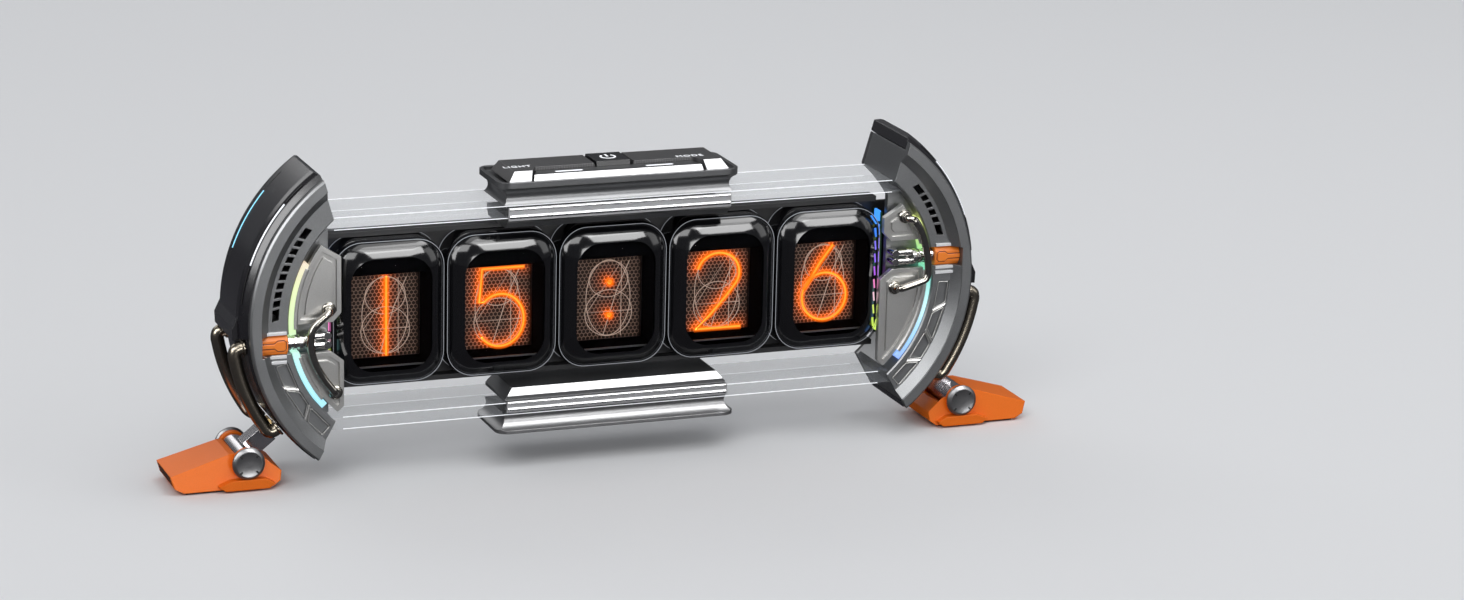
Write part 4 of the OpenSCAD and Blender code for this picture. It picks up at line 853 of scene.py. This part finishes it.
# Pieces of lines: finish, slot, and sections with both angles and steps
SHELL_LINES = {
    "front_line": (WHITE_LINE, "lamp_strip", [(FRONT_LINE, 19.5, 41, 24)]),
    "rear_line": (CYAN_LINE, "lamp_strip", [(REAR_LINE, 20, 40, 24)]),
    "fine_lines": (DARK_MARK_AND_SHADE, "shell_gloss", [(FINE_FRONT, 42, 49, 10), (FINE_FRONT, 7, 18.5, 12),
                                              (FINE_REAR, 41.5, 48, 10), (FINE_REAR, 12, 19, 10)]),
}


def make_light_lines(name, side):
    """Light lines on a shell, and the fine dark lines that carry them on."""
    for part, (material, slot, ribbons) in SHELL_LINES.items():
        bm = bmesh.new()
        for ribbon in ribbons:
            arc_ribbon(bm, side, *ribbon)
        add_piece("%s_%s" % (name, part), bm, material)


# Lamp colours from the lowest to the highest
LAMP_COLORS = [(0.6, 0.85, 0.1), (0.7, 0.9, 0.15), (0.95, 0.6, 0.7), (0.95, 0.25, 0.6), (0.5, 0.12, 0.9),
               (0.3, 0.15, 1.0), (0.25, 0.2, 1.0), (0.05, 0.25, 1.0), (0.05, 0.3, 1.0)]
# Lamps at the ends of the row of cells: both sides, both depths, lowest one off the cells, pitch, height
LAMP_X, LAMP_Y, LAMP_LOW, LAMP_PITCH, LAMP_HIGH = (91.5, 92.3), (-2.6, 1.2), -19.4, 4.55, 3.5


def add_lit(row, k, bm, strength):
    """One of a row of lit pieces, in its lamp's colour."""
    light = glow("%s_light_%d" % (row, k + 1), LAMP_COLORS[k], strength)
    add_piece("%s_%d" % (row, k + 1), bm, light)


def make_lamps(name, side):
    """Row of lamps at one end of the cells."""
    x1, x2 = sorted(side * x for x in LAMP_X)
    for k in range(len(LAMP_COLORS)):
        low = CELL_Z + LAMP_LOW + k * LAMP_PITCH
        bm = bmesh.new()
        block(bm, (x1, LAMP_Y[0], low), (x2, LAMP_Y[1], low + LAMP_HIGH))
        bmesh.ops.bevel(bm, geom=bm.edges[:], offset=0.15 * MM, segments=2, affect="EDGES")
        add_lit(name + "_lamp", k, bm, 1.3)


# Lower bands: number of panels and angle of their top, angle of their end, slant of the ribs between
PANELS = {"left": (3, -15.0), "right": (4, -2.0)}
PANEL_LAST, PANEL_SLANT = -49.6, 1.7
# Radii of the ends of ribs and rims, the rims' gap and thickness, and a rib's section as angle and height
PANEL_RIB, PANEL_RIM, RIM_GAP, RIM_R = (44.4, 48.2), (44.6, 48.0), 1.0, 0.17
RIDGE = ((-0.7, -0.3), (-0.62, 0.02), (0.0, 0.3), (0.62, 0.02), (0.7, -0.3))


def make_panel_ribs(name, side):
    """Slanted ribs with a ridge between the sunk panels of the lower band, and the panels' rims."""
    count, top = PANELS[name]
    pitch = (top - PANEL_LAST) / count

    def border(step, radii):
        """Angle of the border over a panel, and its ends; the first and the last one don't slant."""
        lean = PANEL_SLANT * (1 if step % 2 else -1) if 0 < step < count else 0.0
        return top - step * pitch, [(radii[0], -lean), (radii[1], lean)]

    bm = bmesh.new()
    for k in range(1, count):
        a, ends = border(k, PANEL_RIB)
        loft(bm, [[arch_point(side, r, a + turn + w, Y_BAND - h) for w, h in RIDGE] for r, turn in ends])
    for k in range(count):
        spots = []
        for step, inward in ((k, -1), (k + 1, 1)):
            a, ends = border(step, PANEL_RIM)
            spots += [arch_point(side, r, a + turn + RIM_GAP * inward, Y_BAND - 0.02)
                      for r, turn in ends[::-inward]]
        course = []
        for p, q in zip(spots, spots[1:] + spots[:1]):
            course += [Vector(p).lerp(Vector(q), t) for t in (0.06, 0.35, 0.65, 0.94)]
        tube(bm, course + course[:2], RIM_R, sides=8)
    add_piece(name + "_panel_ribs", bm, FINISH["trim_silver"], sharp=20)


# Inner radius of a light strip, angles of the lips over it and their gap to the plug
STRIP_IN, LIP_FIRST, LIP_LAST, LIP_GAP = 39.8, -38.0, 25.0, 6.5
LIP_SECTION = [(STRIP_IN + r, Y_TRIM - h) for r, h in (
    (-0.6, 0.05), (-0.6, 0.6), (-0.2, 0.95), (0.75, 0.95), (0.75, 0.75), (-0.05, 0.05))]


def make_strip_lips(name, side, dz):
    """Folded edge of the trim plates, over the inner side of the light strip."""
    plug = math.degrees(math.asin(dz / STRIP_IN))
    bm = bmesh.new()
    for a1, a2 in ((LIP_FIRST, plug - LIP_GAP), (plug + LIP_GAP, LIP_LAST)):
        arc_ribbon(bm, side, LIP_SECTION, a1, a2, 40)
    add_piece(name + "_strip_lip", bm, FINISH["trim_silver"], sharp=25)


def make_plate_edges(plate):
    """Painted highlights on the polished edges of a clear plate: thin glowing lines along them."""
    low, high = corners(plate)
    bm = bmesh.new()
    for y in (low.y, high.y):
        for z in (low.z, high.z):
            cross_bar(bm, high.x - 7.0, y, z, 0.13, 8)
    add_piece(plate + "_edges", bm, PLATE_EDGE_HIGHLIGHT)


# Painted lamp reflections as dashes: lowest one off the cells, pitch, height, slant in degrees, cut of
# the highest one
GLINT_LOW, GLINT_PITCH, GLINT_HIGH, GLINT_SLANT, GLINT_CUT = -16.5, 4.25, 3.0, 4.0, 1.6
# Section of a dash as height off the glass and angle round its bend
GLINT_SECTION = ((0.12, 42), (0.12, 44.5), (0.12, 47), (-0.2, 47), (-0.2, 42))


def make_glints():
    """Painted reflections of the lamps: short glowing dashes on the rounded edge of the right end cell.
    """
    low, high = corners("cell_5")
    cx, cy = high.x - GLASS_BEND, low.y + GLASS_DEEP
    last = len(LAMP_COLORS) - 1
    for k in range(last + 1):
        z = CELL_Z + GLINT_LOW + k * GLINT_PITCH
        top_cut = GLINT_CUT if k == last else 0.0
        loops = []
        for dz, shift, inset in ((0.0, 0.0, 0.0), (GLINT_HIGH, GLINT_SLANT, top_cut)):
            ring = []
            for out, turn in GLINT_SECTION:
                t = math.radians(turn + shift)
                ring.append((cx + (GLASS_BEND + out) * math.cos(t) - inset,
                             cy - (GLASS_DEEP + out) * math.sin(t), z + dz))
            loops.append(ring)
        bm = bmesh.new()
        loft(bm, loops)
        add_lit("right_glint", k, bm, 1.0)


# Nut and washer of a leg, measured from the arch's middle
NUT_ANGLE = math.radians(-38.5)
NUT = ((3.2, 55.9), (3.6, 56.1), (3.6, 57.5), (3.2, 57.8))
WASHER = ((2.9, 57.7), (3.3, 57.9), (3.3, 58.5), (2.9, 58.7))


def make_nut(name, side):
    """Hexagon nut and washer on the stud between arch and leg."""
    axis = (side * math.cos(NUT_ANGLE), 0, math.sin(NUT_ANGLE))
    centre = (side * ARC_X, 0, ARC_Z)
    bm = bmesh.new()
    lathe(bm, centre, axis, NUT, sides=6)
    lathe(bm, centre, axis, WASHER, sides=28)
    add_piece(name + "_leg_nut", bm, BRASS_NUT)


# Pin: inner face and outer face of its heads, half its profile, and a mark as distance out and across
PIN_FACE, PIN_END = 10.45, 12.45
PIN_HALF = [(2.0, 0.0), (2.0, PIN_FACE), (4.5, PIN_FACE), (5.1, PIN_FACE + 0.5), (5.1, PIN_FACE + 1.1),
            (4.3, PIN_END - 0.1), (4.05, PIN_END), (3.9, PIN_END - 0.08), (0.6, PIN_END - 0.02)]
PIN_MARK = ((3.05, -0.28), (4.1, -0.28), (4.1, 0.28), (3.05, 0.28))


def make_pin(name, side):
    """Pin with a bevelled disc at each end and four short marks round each disc."""
    body = name + "_foot"
    bm = bmesh.new()
    profile = [(r, -t) for r, t in reversed(PIN_HALF)] + PIN_HALF[1:]
    lathe(bm, (side * PIN_X, 0, PIN_Z), (0, 1, 0), profile, sides=44)
    add_piece(name + "_pin_turned", bm, FINISH["pin_grey"], body=body,
              replaces=[name + "_pin"])
    bm = bmesh.new()
    for end in (-1, 1):
        spot = Vector((side * PIN_X, end * (PIN_END - 0.2), PIN_Z))
        for turn in (45, 135, 225, 315):
            a = math.radians(turn)
            out, across = Vector((math.cos(a), 0, math.sin(a))), Vector((-math.sin(a), 0, math.cos(a)))
            loft(bm, [[tuple(spot + out * r + across * w + Vector((0, y, 0))) for r, w in PIN_MARK]
                      for y in (-0.25, 0.22)])
    add_piece(name + "_pin_marks", bm, DARK_MARK_AND_SHADE, body=body)


for name, side in SIDES.items():
    make_handle(name, side, PLUG_DZ[name])
    make_pipes(name, side)
    make_end_strip(name, side)
    make_plug_boss(name, side, PLUG_DZ[name])
    make_light_lines(name, side)
    make_lamps(name, side)
    make_panel_ribs(name, side)
    make_strip_lips(name, side, PLUG_DZ[name])
    make_nut(name, side)
    make_pin(name, side)


def make_lip_beads(bar):
    """Round beads along the front lip of a bar."""
    mesh = frame["nodes"][bar].data
    pts = [mesh.vertices[v].co / MM for face in mesh.polygons if on_lip(face.center / MM, face.normal)
           for v in face.vertices]
    half, front = max(p.x for p in pts) - 0.4, min(p.y for p in pts)
    low, high = min(p.z for p in pts), max(p.z for p in pts)
    bm = bmesh.new()
    for share, r in ((0.86, 0.45), (0.3, 0.62)):
        cross_bar(bm, half, front + 0.12, low + share * (high - low), r, 18)
    add_piece(bar + "_beads", bm, BEAD_CHROME)


for bar in ("top_clamp", "bottom_bar"):
    make_lip_beads(bar)
make_glints()
for plate in ("top_plate", "bottom_plate"):
    make_plate_edges(plate)


# Screws with a hexagon socket: head, and places on bosses, tray, cover and bars

SCREW_HEAD_R, SCREW_HEAD_H = 2.2, 1.2
BOSS_AT, BOSS_LOW = 47.3, -40
BOSS_UP = math.degrees(math.asin((corners("top_plate")[0].z - 4.1 - ARC_Z) / BOSS_AT))
TRAY_SCREW_X, TRAY_SCREW_Y, TRAY_SCREW_DZ = 96.1, 6.0, 14
COVER_SCREW_X, COVER_SCREW_DZ = 81.0, 16.5
BAR_SCREW_X = 33.0
# Radius and length of the shanks
BRACKET_SHANK, COVER_SHANK = (1.2, 6.0), (1.2, 5.0)
TOP_BAR_SHANK, BOTTOM_BAR_SHANK = (1.3, 9.1), (1.3, 11.2)
REARWARD, DOWN = (0, 1, 0), (0, 0, -1)


def add_screw(bm, centre, axis, shank_r, long):
    """Screw whose head starts at the centre; the axis points out of the head."""
    axis, centre, sides = Vector(axis), Vector(centre), 36
    u, v = side_vectors(axis)

    def ring(radius, along):
        return circle(centre + axis * along, u, v, radius, sides)

    def six_sided(radius, along):
        pts = []
        for k in range(sides):
            a = 2 * math.pi * k / sides
            r = radius / math.cos((a + math.pi / 6) % (math.pi / 3) - math.pi / 6)
            pts.append(tuple(centre + axis * along + (u * math.cos(a) + v * math.sin(a)) * r))
        return pts

    r, h = SCREW_HEAD_R, SCREW_HEAD_H
    loft(bm, [ring(shank_r * 0.6, -long), ring(shank_r, -long + 0.5), ring(shank_r, 0.0), ring(r, 0.0),
              ring(r, h * 0.72), ring(r * 0.9, h), six_sided(r * 0.56, h), six_sided(r * 0.52, h * 0.35)])


screw_rows = {"bracket_screws": [], "tray_screws": [], "cover_screws": [], "bar_screws": []}
y_cover = Y_REAR - SCREW_HEAD_H
for side in (-1, 1):
    for a in (BOSS_UP, 0, BOSS_LOW):
        screw_rows["bracket_screws"].append(
            (arch_point(side, BOSS_AT, a, y_cover), REARWARD, *BRACKET_SHANK))
    for up in (-1, 1):
        screw_rows["tray_screws"].append(
            ((side * TRAY_SCREW_X, TRAY_SCREW_Y, ARC_Z + up * TRAY_SCREW_DZ), REARWARD, *BRACKET_SHANK))
        screw_rows["cover_screws"].append(
            ((side * COVER_SCREW_X, y_cover, CELL_Z + up * COVER_SCREW_DZ), REARWARD, *COVER_SHANK))
    for clamp, shank in (("top_clamp", TOP_BAR_SHANK), ("bottom_clamp", BOTTOM_BAR_SHANK)):
        low = corners(clamp)[0].z + SCREW_HEAD_H
        screw_rows["bar_screws"].append(((side * BAR_SCREW_X, 0, low), DOWN, *shank))
for name, rows in screw_rows.items():
    bm = bmesh.new()
    for row in rows:
        add_screw(bm, *row)
    add_piece(name + "_turned", bm, FINISH["screw_steel"], replaces=[name])


# Keys: words, power sign and the two light slots of the ledge

KEY_TOP = corners("light_key")[1].z
LEDGE_TOP = KEY_TOP - 1.2
WORD_Y, WORD_Z, WORD_SIZE = -3.2, KEY_TOP + 0.05, 3.0
# Power sign: radius, depth of its middle, height, section as share of the radius and height
SIGN_R, SIGN_Y, SIGN_Z = 2.3, 1.4, KEY_TOP + 0.34
SIGN_SECTION = ((0.86, -0.06), (1.14, -0.06), (1.14, 0.05), (0.86, 0.05))
# Light slots: both ends of each, and their depths
SLOT_ENDS = {"left": (-20.3, -11.1), "right": (9.6, 18.8)}
SLOT_FRONT, SLOT_BACK = -7.6, -6.7


def add_word(name, word, x, body):
    """Printed word on top of a key, its pale ink given a faint painted glow."""
    font = bpy.data.curves.new(name, "FONT")
    font.body = word
    font.size = WORD_SIZE * MM
    font.extrude = 0.04 * MM
    font.align_x = "CENTER"
    font.align_y = "CENTER"
    font.space_character = 1.12
    drawn = bpy.data.objects.new(name + "_outline", font)
    bpy.context.scene.collection.objects.link(drawn)
    bpy.context.view_layer.update()
    mesh = bpy.data.meshes.new_from_object(drawn.evaluated_get(bpy.context.evaluated_depsgraph_get()))
    bpy.data.objects.remove(drawn)
    bm = bmesh.new()
    bm.from_mesh(mesh)
    bmesh.ops.translate(bm, verts=bm.verts, vec=(x * MM, WORD_Y * MM, WORD_Z * MM))
    bpy.data.meshes.remove(mesh)
    add_piece(name, bm, PALE_INK_PAINTED_GLOW, body=body)


add_word("light_word", "LIGHT", -31.4, "light_key")
add_word("mode_word", "MODE", 25.6, "mode_key")

# Power sign in the same pale ink, with the same faint painted glow
loops = []
for degrees in range(130, 411, 10):
    a = math.radians(degrees)
    loops.append([(k * SIGN_R * math.cos(a), SIGN_Y + k * SIGN_R * math.sin(a), SIGN_Z + h)
                  for k, h in SIGN_SECTION])
bm = bmesh.new()
loft(bm, loops)
block(bm, (-0.33, SIGN_Y + 0.2, SIGN_Z - 0.06), (0.33, SIGN_Y + 2.9, SIGN_Z + 0.05))
add_piece("power_sign", bm, PALE_INK_PAINTED_GLOW, body="power_key")

for name, (x1, x2) in SLOT_ENDS.items():
    bm = bmesh.new()
    block(bm, (x1, SLOT_FRONT, LEDGE_TOP - 0.25), (x2, SLOT_BACK, LEDGE_TOP + 0.02))
    upright = [e for e in bm.edges if abs(e.verts[0].co.z - e.verts[1].co.z) > 1e-6]
    bmesh.ops.bevel(bm, geom=upright, offset=0.35 * MM, segments=3, affect="EDGES")
    add_piece(name + "_ledge_light", bm, WHITE_LINE)


# Stage, light and camera, in metres

FLOOR_HALF = 6.0
LIGHT_AIM = Vector((0, 0, 0.05))
# Lamps: place, size, power, and whether they light the floor or show only as a sheen on gloss and metal
LIGHTS = {
    "key_light": ((-1.5, -1.9, 2.1), (1.8, 1.2), 26.0, True),
    "top_light": ((0.36, -0.36, 1.75), (2.2, 1.1), 14.0, True),
    "fill_light": ((1.8, -0.9, 0.9), (0.9, 1.2), 4.0, True),
    "rear_light": ((-0.7, 2.2, 1.5), (2.0, 1.2), 11.0, True),
    "sheen_light": ((0.3, -0.28, 0.9), (1.0, 0.42), 5.0, False),
    "front_sheen": ((0.45, -0.86, 0.9), (0.7, 0.56), 9.0, False),
    "side_sheen": ((-1.1, -0.35, 0.6), (0.6, 0.8), 8.0, False),
    "low_sheen": ((0.15, -1.2, 0.2), (0.7, 0.3), 4.5, False),
}
# Room as rays meet it: colour and strength for light on matt faces, for the view, and for gloss
ROOM_LIGHT = ((0.86, 0.88, 0.92, 1), 0.4)
ROOM_VIEW = ((0.8, 0.81, 0.83, 1), 0.6)
ROOM_GLOSS = ((0.8, 0.82, 0.88, 1), 0.14)
# Camera: place, turn in degrees, and focal length in widths of the picture
CAMERA_PLACE = (-0.41246, -1.16636, 0.38715)
CAMERA_YAW, CAMERA_PITCH, CAMERA_ROLL = -21.309, 15.257, 1.41
CAMERA_FOCAL, SENSOR_W = 4050.95 / 1464, 36.0


def mix_shaders(tree, share, first, second):
    """Mix of two shader nodes, by a share from 0 for the first to 1 for the second."""
    mix = tree.nodes.new("ShaderNodeMixShader")
    tree.links.new(share, mix.inputs[0])
    tree.links.new(first.outputs[0], mix.inputs[1])
    tree.links.new(second.outputs[0], mix.inputs[2])
    return mix


def mirrored(tree):
    """One for rays that gloss has thrown back at least once, so that dark gloss and glass stay dark."""
    path = tree.nodes.new("ShaderNodeLightPath")
    return math_node(tree, "GREATER_THAN", path.outputs["Glossy Depth"], 0.5)


def add_floor():
    """Plain pale floor, dim where gloss mirrors it."""
    bm = bmesh.new()
    bmesh.ops.create_grid(bm, x_segments=1, y_segments=1, size=FLOOR_HALF)
    mesh = bpy.data.meshes.new("floor")
    bm.to_mesh(mesh)
    bm.free()
    floor = bpy.data.objects.new("floor", mesh)
    bpy.context.scene.collection.objects.link(floor)
    material, tree, shader = new_material("pale_floor", {
        "Base Color": (0.74, 0.745, 0.755, 1), "Roughness": 0.9, "Specular IOR Level": 0.0})
    dim = tree.nodes.new("ShaderNodeBsdfDiffuse")
    dim.inputs["Color"].default_value = (0.09, 0.09, 0.1, 1)
    shown = mix_shaders(tree, mirrored(tree), shader, dim)
    tree.links.new(shown.outputs[0], tree.nodes["Material Output"].inputs[0])
    mesh.materials.append(material)


def add_area(name, place, size, power, lights_floor):
    """Soft lamp aimed at the clock."""
    lamp = bpy.data.lights.new(name, "AREA")
    lamp.shape = "RECTANGLE"
    lamp.size, lamp.size_y = size
    lamp.energy = power
    holder = bpy.data.objects.new(name, lamp)
    holder.location = place
    holder.rotation_euler = (LIGHT_AIM - Vector(place)).to_track_quat("-Z", "Y").to_euler()
    holder.visible_transmission = False
    holder.visible_diffuse = lights_floor
    bpy.context.scene.collection.objects.link(holder)


def add_world():
    """Pale room for the view, with a darker one for gloss."""
    world = bpy.data.worlds.new("studio")
    bpy.context.scene.world = world
    world.use_nodes = True
    tree = world.node_tree
    tree.nodes.clear()
    rooms = []
    for color, strength in (ROOM_LIGHT, ROOM_VIEW, ROOM_GLOSS):
        room = tree.nodes.new("ShaderNodeBackground")
        set_inputs(room, {"Color": color, "Strength": strength})
        rooms.append(room)
    path = tree.nodes.new("ShaderNodeLightPath").outputs
    seen = math_node(tree, "MAXIMUM", path["Is Camera Ray"], path["Is Transmission Ray"])
    shown = mix_shaders(tree, seen, rooms[0], rooms[1])
    shown = mix_shaders(tree, mirrored(tree), shown, rooms[2])
    out = tree.nodes.new("ShaderNodeOutputWorld")
    tree.links.new(shown.outputs[0], out.inputs[0])


def add_camera():
    """Camera at the place and turn found from the photograph."""
    yaw, pitch, roll = (math.radians(a) for a in (CAMERA_YAW, CAMERA_PITCH, CAMERA_ROLL))
    back = Vector((math.sin(yaw) * math.cos(pitch), -math.cos(yaw) * math.cos(pitch), math.sin(pitch)))
    level = Vector((math.cos(yaw), math.sin(yaw), 0))
    upright = back.cross(level)
    right = math.cos(roll) * level + math.sin(roll) * upright
    up = -math.sin(roll) * level + math.cos(roll) * upright
    data = bpy.data.cameras.new("camera")
    data.sensor_fit = "HORIZONTAL"
    data.sensor_width = SENSOR_W
    data.lens = CAMERA_FOCAL * SENSOR_W
    data.clip_start = 0.05
    camera = bpy.data.objects.new("camera", data)
    turn = Matrix((right, up, back)).transposed()
    camera.matrix_world = Matrix.Translation(CAMERA_PLACE) @ turn.to_4x4()
    bpy.context.scene.collection.objects.link(camera)
    bpy.context.scene.camera = camera


add_floor()
add_world()
for name, settings in LIGHTS.items():
    add_area(name, *settings)
add_camera()
bpy.context.scene.view_settings.view_transform = "Standard"
